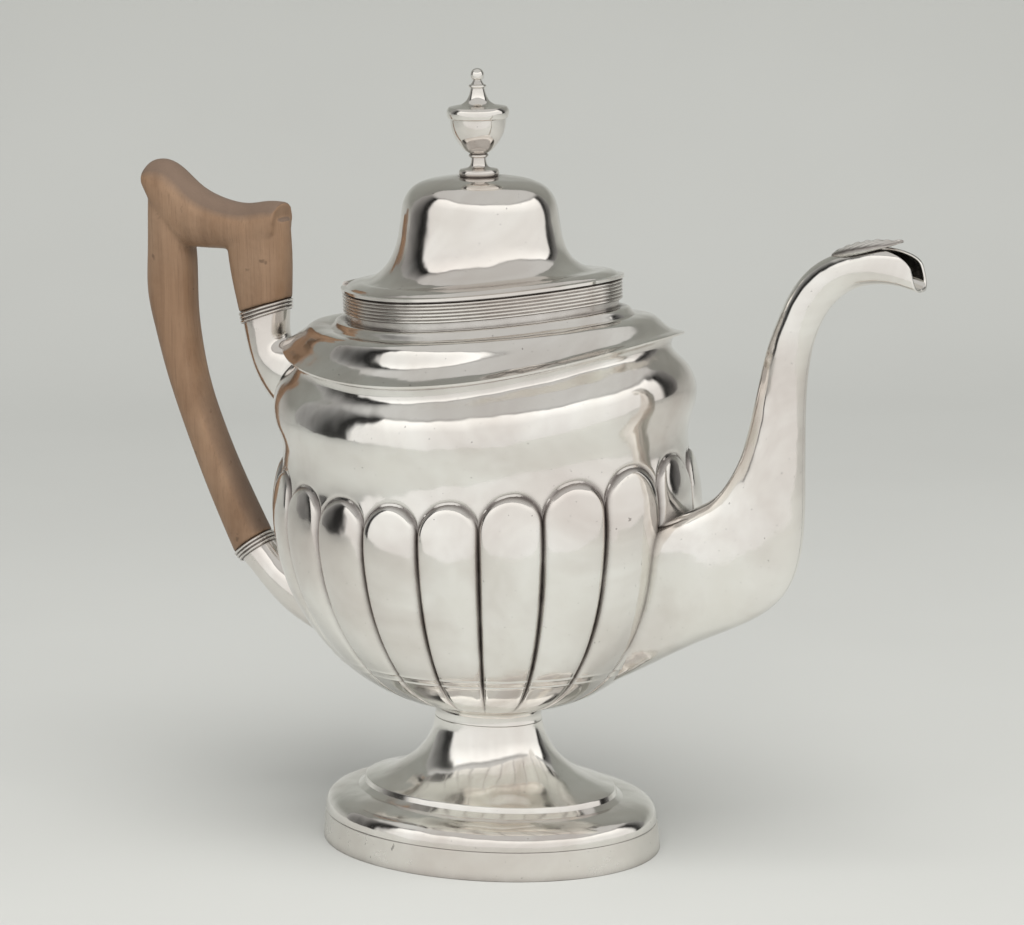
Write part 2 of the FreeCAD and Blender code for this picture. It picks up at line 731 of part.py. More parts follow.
HEAD = [
    ((-147.2, 242.0), (-146.2, 235.0), 6.6),
    ((-144.8, 245.2), (-142.0, 227.0), 7.8),
    ((-139.2, 246.2), (-137.0, 218.0), 8.2),
    ((-132.8, 243.4), (-131.0, 214.0), 8.2),
    ((-125.6, 237.8), (-124.6, 213.6), 8.0),
    ((-118.4, 234.2), (-118.0, 213.6), 7.9),
    ((-109.4, 231.8), (-109.4, 213.4), 7.8),
    ((-100.4, 231.4), (-100.8, 211.0), 7.8),
    ((-92.0, 232.6), (-93.6, 211.0), 7.7),
    ((-85.4, 232.4), (-87.4, 217.0), 7.0),
]
STUB = [
    ((-110.5, 222.0), (-84.5, 226.0), 7.6),
    ((-109.3, 210.0), (-84.0, 214.0), 7.8),
    ((-107.2, 199.0), (-84.2, 205.0), 7.7),
    ((-105.0, 190.2), (-84.7, 196.4), 7.5),
]


def lerp(a, b, part):
    """A station part of the way between two stations."""
    outer = [p + (q - p) * part for p, q in zip(a[0], b[0])]
    inner = [p + (q - p) * part for p, q in zip(a[1], b[1])]
    return (outer, inner, a[2] + (b[2] - a[2]) * part)


def grown(station, extra):
    """A station made larger all round."""
    outer, inner, half_width = station
    span = math.hypot(outer[0] - inner[0], outer[1] - inner[1])
    reach = extra / span
    far_outer = [o + (o - i) * reach for o, i in zip(outer, inner)]
    far_inner = [i + (i - o) * reach for o, i in zip(outer, inner)]
    return (far_outer, far_inner, half_width + extra)


def pin_at(station, tenon_end):
    """The cross pin's full-width cylinder, through the middle of a tenon."""
    middle = lerp(station, tenon_end, 0.5)
    x = 0.5 * (middle[0][0] + middle[1][0])
    z = 0.5 * (middle[0][1] + middle[1][1])
    return Part.makeCylinder(HANDLE_PIN_RADIUS, 40.0, FreeCAD.Vector(x, -20.0, z), FreeCAD.Vector(0, 1, 0))


def socket(stations, trim):
    """A silver socket: trimmed to the pot, hollowed for the tenon and drilled for the pin."""
    hollow = limb(stations[:3], shrink=SOCKET_WALL)
    pin = pin_at(stations[0], stations[2])
    return biggest(limb(stations).cut(trim).cut([hollow, pin]))


def handle_pin(stations):
    """The cross pin, filed flush with the socket."""
    return biggest(pin_at(stations[0], stations[2]).common(limb(stations)))


def ferrule(stations):
    """The reeded collar round a socket's mouth."""
    first, second = stations[:2]
    gap = math.hypot(0.5 * (first[0][0] + first[1][0] - second[0][0] - second[1][0]),
                     0.5 * (first[0][1] + first[1][1] - second[0][1] - second[1][1]))
    steps = 4 * FERRULE_REEDS
    rings = []
    for i in range(steps + 1):
        bulge = 0.35 + 0.75 * abs(math.sin(math.pi * i * FERRULE_REEDS / steps))
        rings.append(grown(lerp(first, second, i * FERRULE_HEIGHT / steps / gap), bulge))
    return biggest(limb(rings, smooth=False).cut(limb(stations)))


def wooden_handle():
    """The carved handle: a curved grip, a thumb-piece bar and a short upright, with a tenon at each end."""
    tenons = [limb(stations[:3], shrink=SOCKET_WALL + FIT_GAP) for stations in (UPPER_SOCKET, LOWER_SOCKET)]
    arms = [limb(HEAD, WOOD_FULLNESS), limb(STUB, WOOD_FULLNESS)] + tenons
    pins = [pin_at(stations[0], stations[2]) for stations in (UPPER_SOCKET, LOWER_SOCKET)]
    return biggest(limb(GRIP, WOOD_FULLNESS).fuse(arms).cut(pins))


def main():
    """Build and write every piece."""
    os.makedirs("parts", exist_ok=True)
    block = body_block()
    trim = [block, shoulder_block()]
    tube_solid = spout_tube(block)
    lid = lid_shell()
    save("foot_band", foot_band())
    save("foot_dome", foot_dome())
    save("foot_joint_ring", foot_joint_ring())
    save("shoulder", shoulder())
    save("neck_collar", neck_collar())
    save("reeded_band", reeded_band())
    save("lid", lid)
    save("lid_bezel", lid_bezel())
    save("finial", finial())
    save("finial_nut", finial_nut())
    save("hinge_on_collar", hinge_on_collar())
    save("hinge_on_lid", hinge_on_lid(lid))
    save("hinge_pin", hinge_pin())
    save("spout_left_half", spout_half(tube_solid, 1))
    save("spout_right_half", spout_half(tube_solid, -1))
    save("spout_leaf", spout_leaf())
    save("upper_socket", socket(UPPER_SOCKET, trim))
    save("lower_socket", socket(LOWER_SOCKET, trim))
    save("upper_ferrule", ferrule(UPPER_SOCKET))
    save("lower_ferrule", ferrule(LOWER_SOCKET))
    save("upper_handle_pin", handle_pin(UPPER_SOCKET))
    save("lower_handle_pin", handle_pin(LOWER_SOCKET))
    save("wooden_handle", wooden_handle())
    save("body", body())


main()
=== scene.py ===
import json
import math

import bpy
import numpy as np
from mathutils import Matrix, Vector

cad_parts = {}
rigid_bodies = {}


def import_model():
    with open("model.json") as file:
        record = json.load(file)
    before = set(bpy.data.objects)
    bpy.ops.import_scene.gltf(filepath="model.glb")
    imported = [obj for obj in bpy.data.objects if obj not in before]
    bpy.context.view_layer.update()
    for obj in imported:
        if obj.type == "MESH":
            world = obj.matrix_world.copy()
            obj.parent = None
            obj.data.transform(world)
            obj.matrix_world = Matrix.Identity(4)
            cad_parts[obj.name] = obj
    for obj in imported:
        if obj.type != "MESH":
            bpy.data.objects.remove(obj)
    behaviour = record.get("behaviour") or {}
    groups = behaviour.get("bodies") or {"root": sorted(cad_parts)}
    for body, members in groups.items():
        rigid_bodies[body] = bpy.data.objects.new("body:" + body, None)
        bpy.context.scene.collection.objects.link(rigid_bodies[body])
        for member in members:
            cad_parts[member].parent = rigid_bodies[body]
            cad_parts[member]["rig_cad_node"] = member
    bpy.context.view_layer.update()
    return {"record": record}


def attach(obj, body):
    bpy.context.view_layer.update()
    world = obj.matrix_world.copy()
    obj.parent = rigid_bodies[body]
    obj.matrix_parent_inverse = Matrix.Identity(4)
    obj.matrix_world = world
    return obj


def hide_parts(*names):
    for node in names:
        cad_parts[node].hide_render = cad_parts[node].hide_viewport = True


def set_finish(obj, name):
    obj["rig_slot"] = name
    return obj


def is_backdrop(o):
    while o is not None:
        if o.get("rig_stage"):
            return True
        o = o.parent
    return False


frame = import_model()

MM = 0.001

# ---------------------------------------------------------------- sizes (mm)
BODY_RATIO = 0.80
LOBES = 20
SWEEP_CENTRE = -0.2
RIM_LIFT = 14.5
COLLAR_TILT = 3.5
COLLAR_LIFT = 2.4
COLLAR_POINT = 0.2
COLLAR_NARROWER = 13.8
COLLAR_LENGTH = 54.0
COLLAR_TOP = 205.9
COLLAR_BOTTOM = 189.6
SHEET = 1.0
LID_GAP = 0.06
LID_RIM = 56.0
LID_TOP = 246.0
BEZEL_INSET = 1.5
BEZEL_DEPTH = 4.0
STUD_RADIUS = 2.0
STUD_BOTTOM = 240.0
REEDS = 6
REED_BAND = (198.1, 205.4)
REED_FOOT = 0.7
REED_DEPTH = 0.8
HINGE = (-54.3, 203.9)
NOTCH_HALF = 6.75
NOTCH_IN = 1.75
NOTCH_OUT = 8.0
KNUCKLE_NOTCH = 1.8
STRAP_NOTCH = 15.6


def row(length, height, width=None, lift=0.0, tilt=0.0, lobe=0.0, point=0.0):
    """Half length, half width, height, lift, tilt, lobe height and pointedness of one level."""
    return (length, BODY_RATIO * length if width is None else width, height, lift, tilt, lobe, point)


def sweep_rise(c):
    """Share of a level's lift at this cosine: 1 at the spout end, lowest just behind the middle."""
    return ((c - SWEEP_CENTRE) / (1.0 - SWEEP_CENTRE)) ** 2


# ---------------------------------------------------------------- curve helpers
def spline(knots, count=None, step=None):
    """A natural cubic spline through the rows of knots, by chord length, evenly spaced."""
    knots = np.asarray(knots, float)
    gaps = np.linalg.norm(np.diff(knots[:, :3], axis=0), axis=1)
    t = np.concatenate([[0.0], np.cumsum(gaps)])
    n = len(t)
    if count is None:
        count = max(3, int(math.ceil(t[-1] / step)) + 1)
    if n == 2:
        part = np.linspace(0.0, 1.0, count)[:, None]
        return knots[0] * (1.0 - part) + knots[1] * part
    h = np.diff(t)
    a = np.zeros((n, n))
    b = np.zeros((n, knots.shape[1]))
    a[0, 0] = a[-1, -1] = 1.0
    for i in range(1, n - 1):
        a[i, i - 1] = h[i - 1]
        a[i, i] = 2.0 * (h[i - 1] + h[i])
        a[i, i + 1] = h[i]
        b[i] = 3.0 * ((knots[i + 1] - knots[i]) / h[i] - (knots[i] - knots[i - 1]) / h[i - 1])
    c = np.linalg.solve(a, b)
    s = np.linspace(0.0, t[-1], count)
    k = np.clip(np.searchsorted(t, s, side="right") - 1, 0, n - 2)
    x = (s - t[k])[:, None]
    hk = h[k][:, None]
    d = (c[k + 1] - c[k]) / (3.0 * hk)
    slope = (knots[k + 1] - knots[k]) / hk - hk * (2.0 * c[k] + c[k + 1]) / 3.0
    return knots[k] + slope * x + c[k] * x ** 2 + d * x ** 3


# ---------------------------------------------------------------- mesh helpers
def make_object(name, verts, quads, body, replaces=(), slot=None, sharp=None, tris=(), **attributes):
    """A smooth-shaded mesh in metres riding on a CAD body."""
    mesh = bpy.data.meshes.new(name)
    faces = [tuple(int(i) for i in q) for q in quads] + [tuple(int(i) for i in t) for t in tris]
    mesh.from_pydata([tuple(v) for v in (np.asarray(verts) * MM)], [], faces)
    mesh.update()
    mesh.polygons.foreach_set("use_smooth", np.ones(len(mesh.polygons), bool))
    for key, values in attributes.items():
        layer = mesh.attributes.new(key, "FLOAT", "POINT")
        layer.data.foreach_set("value", np.asarray(values, np.float32))
    obj = bpy.data.objects.new(name, mesh)
    bpy.context.scene.collection.objects.link(obj)
    if sharp is not None:
        ends = np.empty(len(mesh.edges) * 2, np.int32)
        mesh.edges.foreach_get("vertices", ends)
        level = sharp[ends.reshape(-1, 2)]
        marks = (level[:, 0] > 0) & (level[:, 0] == level[:, 1])
        layer = mesh.attributes.new("sharp_edge", "BOOLEAN", "EDGE")
        layer.data.foreach_set("value", marks)
    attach(obj, body)
    if replaces:
        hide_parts(*replaces)
    if slot:
        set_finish(obj, slot)
    return obj


def grid_quads(rows, cols, closed_rows=False):
    """Quads of a grid closed round its columns."""
    r = np.arange(rows if closed_rows else rows - 1)[:, None]
    c = np.arange(cols)[None, :]
    r1 = (r + 1) % rows
    c1 = (c + 1) % cols
    return np.stack([r * cols + c, r * cols + c1, r1 * cols + c1, r1 * cols + c], -1).reshape(-1, 4)


def oval_points(levels, angles):
    """Points of many levels at many angles, with no lobes."""
    c = np.cos(angles)[None, :]
    s = np.sin(angles)[None, :]
    length, width, height, lift, tilt = [levels[:, k][:, None] for k in range(5)]
    point = levels[:, 6][:, None]
    z = height + lift * sweep_rise(c) + tilt * c
    return np.stack([length * c, width * s * (1.0 - point * c * c), z], -1)


def oval_piece(name, bands, body, replaces, slot, step=0.8, cols=384):
    """A closed oval ring piece from bands of levels; band ends are crisp edges."""
    angles = np.arange(cols) * 2.0 * np.pi / cols
    levels = []
    sharp = []
    for k, band in enumerate(bands):
        part = spline(band, step=step)
        levels.append(part[:-1])
        marks = np.zeros(len(part) - 1, int)
        marks[0] = k + 1
        sharp.append(marks)
    levels = np.concatenate(levels)
    sharp = np.repeat(np.concatenate(sharp), cols)
    verts = oval_points(levels, angles).reshape(-1, 3)
    quads = flip_if_inside_out(verts, grid_quads(len(levels), cols, closed_rows=True))
    return make_object(name, verts, quads, body, replaces, slot, sharp)


def flip_if_inside_out(verts, faces):
    """The faces, turned over if the closed mesh they make has negative volume."""
    faces = np.asarray(faces)
    a, b, c, d = [verts[faces[:, k]] for k in range(4)]
    volume = np.einsum("ij,ij->", a, np.cross(b, c)) + np.einsum("ij,ij->", a, np.cross(c, d))
    return faces[:, ::-1] if volume < 0.0 else faces


def shell_quads(ring):
    """Quads of a shell whose rows each run out along one skin and back along the other, ends closed."""
    rows, cols = ring.shape[:2]
    parts = [grid_quads(rows, cols)]
    k = np.arange(cols // 2 - 1)
    for base, turn in ((0, False), ((rows - 1) * cols, True)):
        strip = np.stack([base + k, base + k + 1, base + cols - 2 - k, base + cols - 1 - k], -1)
        parts.append(strip if turn else strip[:, ::-1])
    return flip_if_inside_out(ring.reshape(-1, 3), np.concatenate(parts))


def fans(first, rows, cols):
    """Triangles from the points first and first + 1 to the first and the last row of a closed grid."""
    k = np.arange(cols)
    k1 = (k + 1) % cols
    last = (rows - 1) * cols
    return np.concatenate([
        np.stack([np.full(cols, first), k1, k], -1),
        np.stack([np.full(cols, first + 1), last + k, last + k1], -1),
    ])


def cut_box(obj, low, high):
    """Cuts a plain box (mm corners) out of a closed piece and keeps the result as its own mesh."""
    corners = [(x, y, z) for x in (low[0], high[0]) for y in (low[1], high[1]) for z in (low[2], high[2])]
    faces = [(0, 1, 3, 2), (4, 6, 7, 5), (0, 4, 5, 1), (2, 3, 7, 6), (0, 2, 6, 4), (1, 5, 7, 3)]
    mesh = bpy.data.meshes.new("cutter")
    mesh.from_pydata([tuple(v * MM for v in p) for p in corners], [], faces)
    cutter = bpy.data.objects.new("cutter", mesh)
    bpy.context.scene.collection.objects.link(cutter)
    cut = obj.modifiers.new("cut", "BOOLEAN")
    cut.operation = "DIFFERENCE"
    cut.solver = "EXACT"
    cut.object = cutter
    bpy.context.view_layer.update()
    graph = bpy.context.evaluated_depsgraph_get()
    result = bpy.data.meshes.new_from_object(obj.evaluated_get(graph), depsgraph=graph)
    obj.modifiers.remove(cut)
    obj.data = result
    bpy.data.objects.remove(cutter)
    bpy.data.meshes.remove(mesh)


def hinge_notch(obj, depth):
    """The space let into a piece round the hinge."""
    x, z = HINGE
    cut_box(obj, (x - NOTCH_OUT, -NOTCH_HALF, z - depth), (x + NOTCH_IN, NOTCH_HALF, z + NOTCH_OUT))


def add_bevel(obj, width, segments=2, angle=32.0):
    """Softens the crisp edges of a piece so that they catch the light."""
    bevel = obj.modifiers.new("edge", "BEVEL")
    bevel.width = width * MM
    bevel.segments = segments
    bevel.limit_method = "ANGLE"
    bevel.angle_limit = math.radians(angle)
    bevel.harden_normals = True
    bevel.use_clamp_overlap = True


# ---------------------------------------------------------------- body
BODY_FLOOR = 53.0
BODY = [
    row(22.8, BODY_FLOOR, 18.2),
    row(31.6, 54.9, lobe=0.5),
    row(40.6, 58.6, lobe=1.0),
    row(49.6, 64.2, lobe=1.6, lift=0.3),
    row(57.8, 71.4, lobe=2.2, lift=1.0),
    row(65.2, 80.2, lobe=2.7, lift=2.0),
    row(71.4, 90.2, lobe=3.1, lift=3.6),
    row(76.0, 101.0, lobe=3.5, lift=5.8),
    row(78.8, 111.6, lobe=3.8, lift=8.4),
    row(79.9, 121.0, lobe=3.9, lift=11.0),
    row(79.6, 126.4, lobe=3.8, lift=12.6),
    row(79.0, 130.4, lobe=3.7, lift=13.4),
    row(78.4, 133.4, lobe=3.5, lift=14.0),
    row(77.9, 135.6, lobe=3.4, lift=14.4),
    row(77.6, 138.2, lobe=3.2, lift=RIM_LIFT),
    row(77.5, 143.0, lift=RIM_LIFT),
    row(78.6, 148.4, lift=RIM_LIFT),
    row(80.3, 153.6, lift=RIM_LIFT),
    row(80.7, 158.4, lift=RIM_LIFT),
    row(79.4, 163.6, lift=RIM_LIFT),
    row(76.2, 168.2, lift=RIM_LIFT),
    row(72.8, 171.4, lift=RIM_LIFT),
    row(71.4, 174.0, lift=RIM_LIFT),
    row(72.4, 176.8, lift=RIM_LIFT),
]
FLOOR_EDGE = (22.0, 17.4)
ARCH_START = 126.0
ARCH_HEIGHT = 10.6
CHANNEL_DEPTH = 0.6
CHANNEL_WIDTH = 0.085
LOBE_ROUNDING = 0.34
LOBE_STEP = 1.5
LOBE_SWELL = 42.0
BEAD_LINES = (69.0, 71.6)
BEAD_HEIGHT = 0.3
BEAD_WIDTH = 0.32


def body_piece():
    """The raised body with its lobes, arches and channels, hollow inside."""
    per_lobe = 44
    cols = LOBES * per_lobe
    t = (np.arange(per_lobe) / per_lobe) * 2.0 - 1.0
    across = np.sin(0.5 * np.pi * t)
    fine = np.linspace(0.0, 2.0 * np.pi, 40001)
    mid = 0.5 * (fine[1:] + fine[:-1])
    arc = np.concatenate([[0.0], np.cumsum(np.hypot(np.sin(mid), BODY_RATIO * np.cos(mid)))])
    place = (np.arange(LOBES)[:, None] + 0.5 * across[None, :]).reshape(-1) / LOBES * arc[-1]
    angles = np.interp(np.mod(place, arc[-1]), arc, fine)
    a = np.tile(across, LOBES)
    levels = spline(BODY, step=0.45)
    skinned = []
    grooves = []
    for inside in (False, True):
        rows = levels if not inside else spline(BODY, step=4.0)
        length, width, height, lift, tilt, lobe = [rows[:, k][:, None] for k in range(6)]
        v = np.clip((height - ARCH_START) / ARCH_HEIGHT, 0.0, None)
        r = np.sqrt(a[None, :] ** 2 + v ** 2)
        edge = np.clip((1.0 - r) / LOBE_ROUNDING, 0.0, 1.0)
        step = np.sqrt(1.0 - (1.0 - edge) ** 2)
        bulge = np.clip(1.0 - r ** 2, 0.0, None) ** 0.8
        share = np.clip((ARCH_START + ARCH_HEIGHT - height) / LOBE_SWELL, 0.0, 1.0) ** 0.8
        # band also feeds the groove attribute, which the silver uses for painted shade along the channels.
        band = np.exp(-((r - 1.0) / CHANNEL_WIDTH) ** 2) * np.clip(lobe / 2.0, 0.0, 1.0)
        rise = np.clip(lobe, 0.0, None)
        small = np.minimum(rise, LOBE_STEP)
        out = small * step + (rise - small) * bulge * share - (0.0 if inside else CHANNEL_DEPTH) * band
        if not inside:
            for line in BEAD_LINES:
                out = out + BEAD_HEIGHT * np.exp(-((height - line) / BEAD_WIDTH) ** 2)
        c = np.cos(angles)[None, :]
        s = np.sin(angles)[None, :]
        if inside:
            run = np.gradient(rows[:, 0])[:, None]
            climb = np.gradient(rows[:, 2])[:, None]
            slope = np.hypot(run, climb)
            length = length - climb / slope
            width = width - climb / slope
            height = height + run / slope
            length[0], width[0] = FLOOR_EDGE
            height[0] = BODY_FLOOR + SHEET
        normal = np.hypot(width * c, length * s)
        x = length * c + out * width * c / normal
        y = width * s + out * length * s / normal
        z = height + lift * sweep_rise(c) + tilt * c
        points = np.stack([x, y, z], -1)
        skinned.append(points if not inside else points[::-1])
        grooves.append(band if not inside else band[::-1])
    points = np.concatenate(skinned)
    groove = np.concatenate(grooves)
    rows = len(points)
    quads = grid_quads(rows, cols)
    verts = points.reshape(-1, 3)
    bottom = np.array([[0.0, 0.0, BODY_FLOOR], [0.0, 0.0, BODY_FLOOR + SHEET]])
    tris = fans(len(verts), rows, cols)
    verts = np.concatenate([verts, bottom])
    turned = flip_if_inside_out(verts, quads)
    if turned[0][0] != quads[0][0]:
        tris = tris[:, ::-1]
    values = np.concatenate([groove.reshape(-1), [0.0, 0.0]])
    make_object("lobed_body", verts, turned, "pot", ("body",), "silver_polished", tris=tris, groove=values)


# ---------------------------------------------------------------- oval pieces
def collar_row(length, height):
    """A level of the collar's pointed oval."""
    return row(length, height, length - COLLAR_NARROWER, COLLAR_LIFT, COLLAR_TILT, point=COLLAR_POINT)


def inset(level, across, down=0.0):
    """The level moved in and down by these distances."""
    return (level[0] - across, level[1] - across, level[2] - down) + tuple(level[3:])


def tube_bands(outer, wall, bottom, top):
    """The bands of an upright tube on the collar's oval."""
    a = collar_row(outer, bottom)
    b = collar_row(outer, top)
    c = inset(b, wall)
    d = inset(a, wall)
    return [[a, b], [b, c], [c, d], [d, a]]


FOOT_SHEET = 1.2
FOOT_NECK_TOP = 47.0
FOOT_BORE = (17.5, 12.6)


def foot_pieces():
    """The upright band, the stepped foot with its trumpet neck, and the ring under the bowl."""
    bottom = row(65.7, 0.0, 51.5)
    top = row(64.8, 10.5, 50.6)
    inner_top = inset(top, FOOT_SHEET)
    inner_bottom = inset(bottom, FOOT_SHEET)
    bands = [[bottom, top], [top, inner_top], [inner_top, inner_bottom], [inner_bottom, bottom]]
    band = oval_piece("foot_edge_band", bands, "pot", ("foot_band",), "silver_satin")
    add_bevel(band, 0.3)
    shoulder = [top, row(64.6, 13.2, 50.3), row(63.2, 15.8, 48.9), row(60.0, 17.7, 45.6),
                row(55.4, 18.8, 40.9), row(50.6, 19.3, 35.8)]
    step = [shoulder[-1], row(49.6, 22.6, 34.8)]
    trumpet = [step[-1], row(46.0, 23.6, 32.6), row(39.6, 25.6, 28.6), row(31.6, 30.0, 22.9),
               row(25.2, 36.4, 18.6), row(21.8, 43.0, 16.4), row(21.0, FOOT_NECK_TOP, 15.9)]
    throat = [inset(trumpet[-1], 1.0), inset(trumpet[5], 1.0, 0.2), inset(trumpet[4], 0.9, 0.6),
              inset(trumpet[3], 0.7, 0.9), inset(trumpet[2], 0.5, 1.0), inset(trumpet[1], 0.4, 1.1),
              inset(trumpet[0], 0.3, 1.3)]
    under = [throat[-1], inset(shoulder[4], 0.1, 1.1), inset(shoulder[3], 0.3, 1.1),
             inset(shoulder[2], 0.7, 1.1), inset(shoulder[1], 1.1, 0.8), inner_top]
    bands = [shoulder, step, trumpet, [trumpet[-1], throat[0]], throat, under, [under[-1], top]]
    dome = oval_piece("stepped_foot", bands, "pot", ("foot_dome",), "silver_polished", step=0.6)
    add_bevel(dome, 0.35)
    outer = [row(21.0, FOOT_NECK_TOP, 15.9), row(20.7, 49.0, 15.8), row(21.3, 51.2, 16.5),
             row(22.8, BODY_FLOOR, 18.2)]
    bore_top = row(FOOT_BORE[0], BODY_FLOOR, FOOT_BORE[1])
    bore_bottom = row(FOOT_BORE[0], FOOT_NECK_TOP, FOOT_BORE[1])
    bands = [outer, [outer[-1], bore_top], [bore_top, bore_bottom], [bore_bottom, outer[0]]]
    joint = oval_piece("foot_ring", bands, "pot", ("foot_joint_ring",), "silver_polished", step=0.4)
    add_bevel(joint, 0.2)


def shoulder_piece():
    """The boat-shaped shoulder: sharp edge, steep roll, hollow, small moulding under the collar."""
    outside = [row(76.7, 178.5, lift=RIM_LIFT), row(75.0, 179.5, 59.6, 13.9, -0.1),
               row(73.2, 180.8, 57.6, 13.0, -0.3), row(71.2, 182.5, 55.6, 12.2, -0.3, point=0.02),
               row(69.6, 184.5, 54.2, 11.1, 0.0, point=0.04), row(68.2, 187.1, 53.3, 9.2, 0.6, point=0.07),
               row(66.6, 189.7, 52.4, 6.8, 1.5, point=0.10), row(64.2, 191.7, 50.6, 4.5, 2.4, point=0.12),
               row(61.8, 192.4, 48.6, 3.5, 2.9, point=0.14), row(59.8, 192.8, 46.2, 2.6, 3.4, point=0.15)]
    edge = row(76.3, 177.7, lift=RIM_LIFT)
    under = [edge, row(72.4, 176.8, lift=RIM_LIFT)]
    seat = [under[-1], row(71.4, 176.8, lift=RIM_LIFT)]
    moulding = [outside[-1], collar_row(59.4, 193.6), collar_row(58.1, 195.1), collar_row(56.6, 195.6)]
    top = [moulding[-1], collar_row(COLLAR_LENGTH, 195.6)]
    hole = [top[-1], collar_row(COLLAR_LENGTH, 193.4)]
    roof = [hole[-1], collar_row(57.4, 192.2), inset(outside[7], 0.4, 1.0)]
    inside = [roof[-1], inset(outside[6], 0.8, 0.6), inset(outside[4], 1.0, 0.4), inset(outside[2], 1.0, 1.0),
              inset(outside[1], 2.2, 0.9), seat[-1]]
    bands = [[edge, outside[0]], outside, moulding, top, hole, roof, inside, seat[::-1], under[::-1]]
    piece = oval_piece("boat_shoulder", bands, "pot", ("shoulder",), "silver_polished", step=0.5, cols=512)
    add_bevel(piece, 0.3)


def collar_pieces():
    """The plain upright collar and the band of reeds round it."""
    bands = tube_bands(COLLAR_LENGTH, SHEET, COLLAR_BOTTOM, COLLAR_TOP)
    tube = oval_piece("collar_tube", bands, "pot", ("neck_collar",), "silver_polished")
    hinge_notch(tube, KNUCKLE_NOTCH)
    add_bevel(tube, 0.2)
    low, high = REED_BAND
    valley = COLLAR_LENGTH + REED_FOOT
    around_reed = 8
    outline = []
    for i in range(REEDS):
        for k in range(around_reed):
            part = (i + k / around_reed) / REEDS
            out = abs(math.sin(math.pi * k / around_reed)) ** 0.7
            outline.append(collar_row(valley + REED_DEPTH * out, low + (high - low) * part))
    outline.append(collar_row(valley, high))
    outline += [collar_row(COLLAR_LENGTH, high), collar_row(COLLAR_LENGTH, low)]
    levels = np.array(outline)
    cols = 512
    angles = np.arange(cols) * 2.0 * np.pi / cols
    points = oval_points(levels, angles)
    quads = grid_quads(len(levels), cols, closed_rows=True)
    # depth marks the reed valleys, which the silver darkens with painted shade.
    depth = np.repeat(np.clip(1.0 - (levels[:, 0] - valley) / 0.5, 0.0, 1.0), cols)
    verts = points.reshape(-1, 3)
    band = make_object("collar_reeds", verts, flip_if_inside_out(verts, quads), "pot", ("reeded_band",),
                       "silver_polished", groove=depth)
    hinge_notch(band, STRAP_NOTCH)


def lid_pieces():
    """The lid with its rolled rim, cove and dome, and the ring that drops inside the collar."""
    seat_z = COLLAR_TOP + LID_GAP
    rim_top = collar_row(LID_RIM, seat_z + SHEET)
    seat = collar_row(LID_RIM, seat_z)
    seat_inner = collar_row(50.8, seat_z)
    flange = [rim_top, row(53.8, 207.2, 40.3, COLLAR_LIFT, 3.4, point=0.19)]
    roll = [flange[-1], row(52.9, 207.9, 39.6, 2.3, 3.3, point=0.18),
            row(51.2, 208.7, 38.3, 2.1, 3.2, point=0.17), row(49.0, 209.3, 36.9, 1.9, 3.0, point=0.16),
            row(47.0, 209.5, 35.6, 1.7, 2.8, point=0.14)]
    cove = [roll[-1], row(43.6, 210.1, 33.6, 1.4, 2.4, point=0.11),
            row(39.4, 211.9, 31.0, 1.0, 1.8, point=0.07), row(35.6, 214.9, 28.6, 0.5, 1.0, point=0.02),
            row(32.6, 219.4, 26.8, 0.1, 0.4), row(30.8, 225.2, 25.5), row(29.8, 231.0, 24.8),
            row(28.8, 236.4, 24.1), row(26.4, 240.8, 22.0), row(22.0, 243.8, 18.2),
            row(15.6, 245.4, 12.8), row(8.0, LID_TOP, 8.0)]
    levels = np.array(cove)
    run = np.gradient(levels[:, 0])
    climb = np.gradient(levels[:, 2])
    slope = np.hypot(run, climb)
    inner = levels.copy()
    inner[:, 0] -= climb / slope
    inner[:, 1] -= climb / slope
    inner[:, 2] += run / slope
    hole_top = row(STUD_RADIUS, LID_TOP, STUD_RADIUS)
    hole_bottom = row(STUD_RADIUS, LID_TOP - SHEET, STUD_RADIUS)
    inside = [seat_inner] + [tuple(v) for v in inner[1:-1]] + [row(7.6, LID_TOP - SHEET, 7.6)]
    bands = [[seat, rim_top], flange, roll, cove, [cove[-1], hole_top], [hole_top, hole_bottom],
             [hole_bottom, inside[-1]], inside[::-1], [seat_inner, seat]]
    lid = oval_piece("domed_lid", bands, "lid", ("lid",), "silver_polished", step=0.5, cols=448)
    hinge_notch(lid, KNUCKLE_NOTCH)
    add_bevel(lid, 0.25)
    bands = tube_bands(COLLAR_LENGTH - BEZEL_INSET, SHEET, COLLAR_TOP - BEZEL_DEPTH, COLLAR_TOP)
    bezel = oval_piece("lid_inner_ring", bands, "lid", ("lid_bezel",), "silver_polished")
    add_bevel(bezel, 0.15)


def turned_piece(name, node, outline, body, slot, step=0.25, cols=160):
    """A round piece from a closed outline of (radius, height) runs, each run smooth."""
    bands = [[row(max(r, AXIS), z, max(r, AXIS)) for r, z in run] for run in outline]
    return oval_piece(name, bands, body, (node,), slot, step=step, cols=cols)


KNOB_RADIUS = 2.4
KNOB_HEIGHT = 282.2
AXIS = 0.01


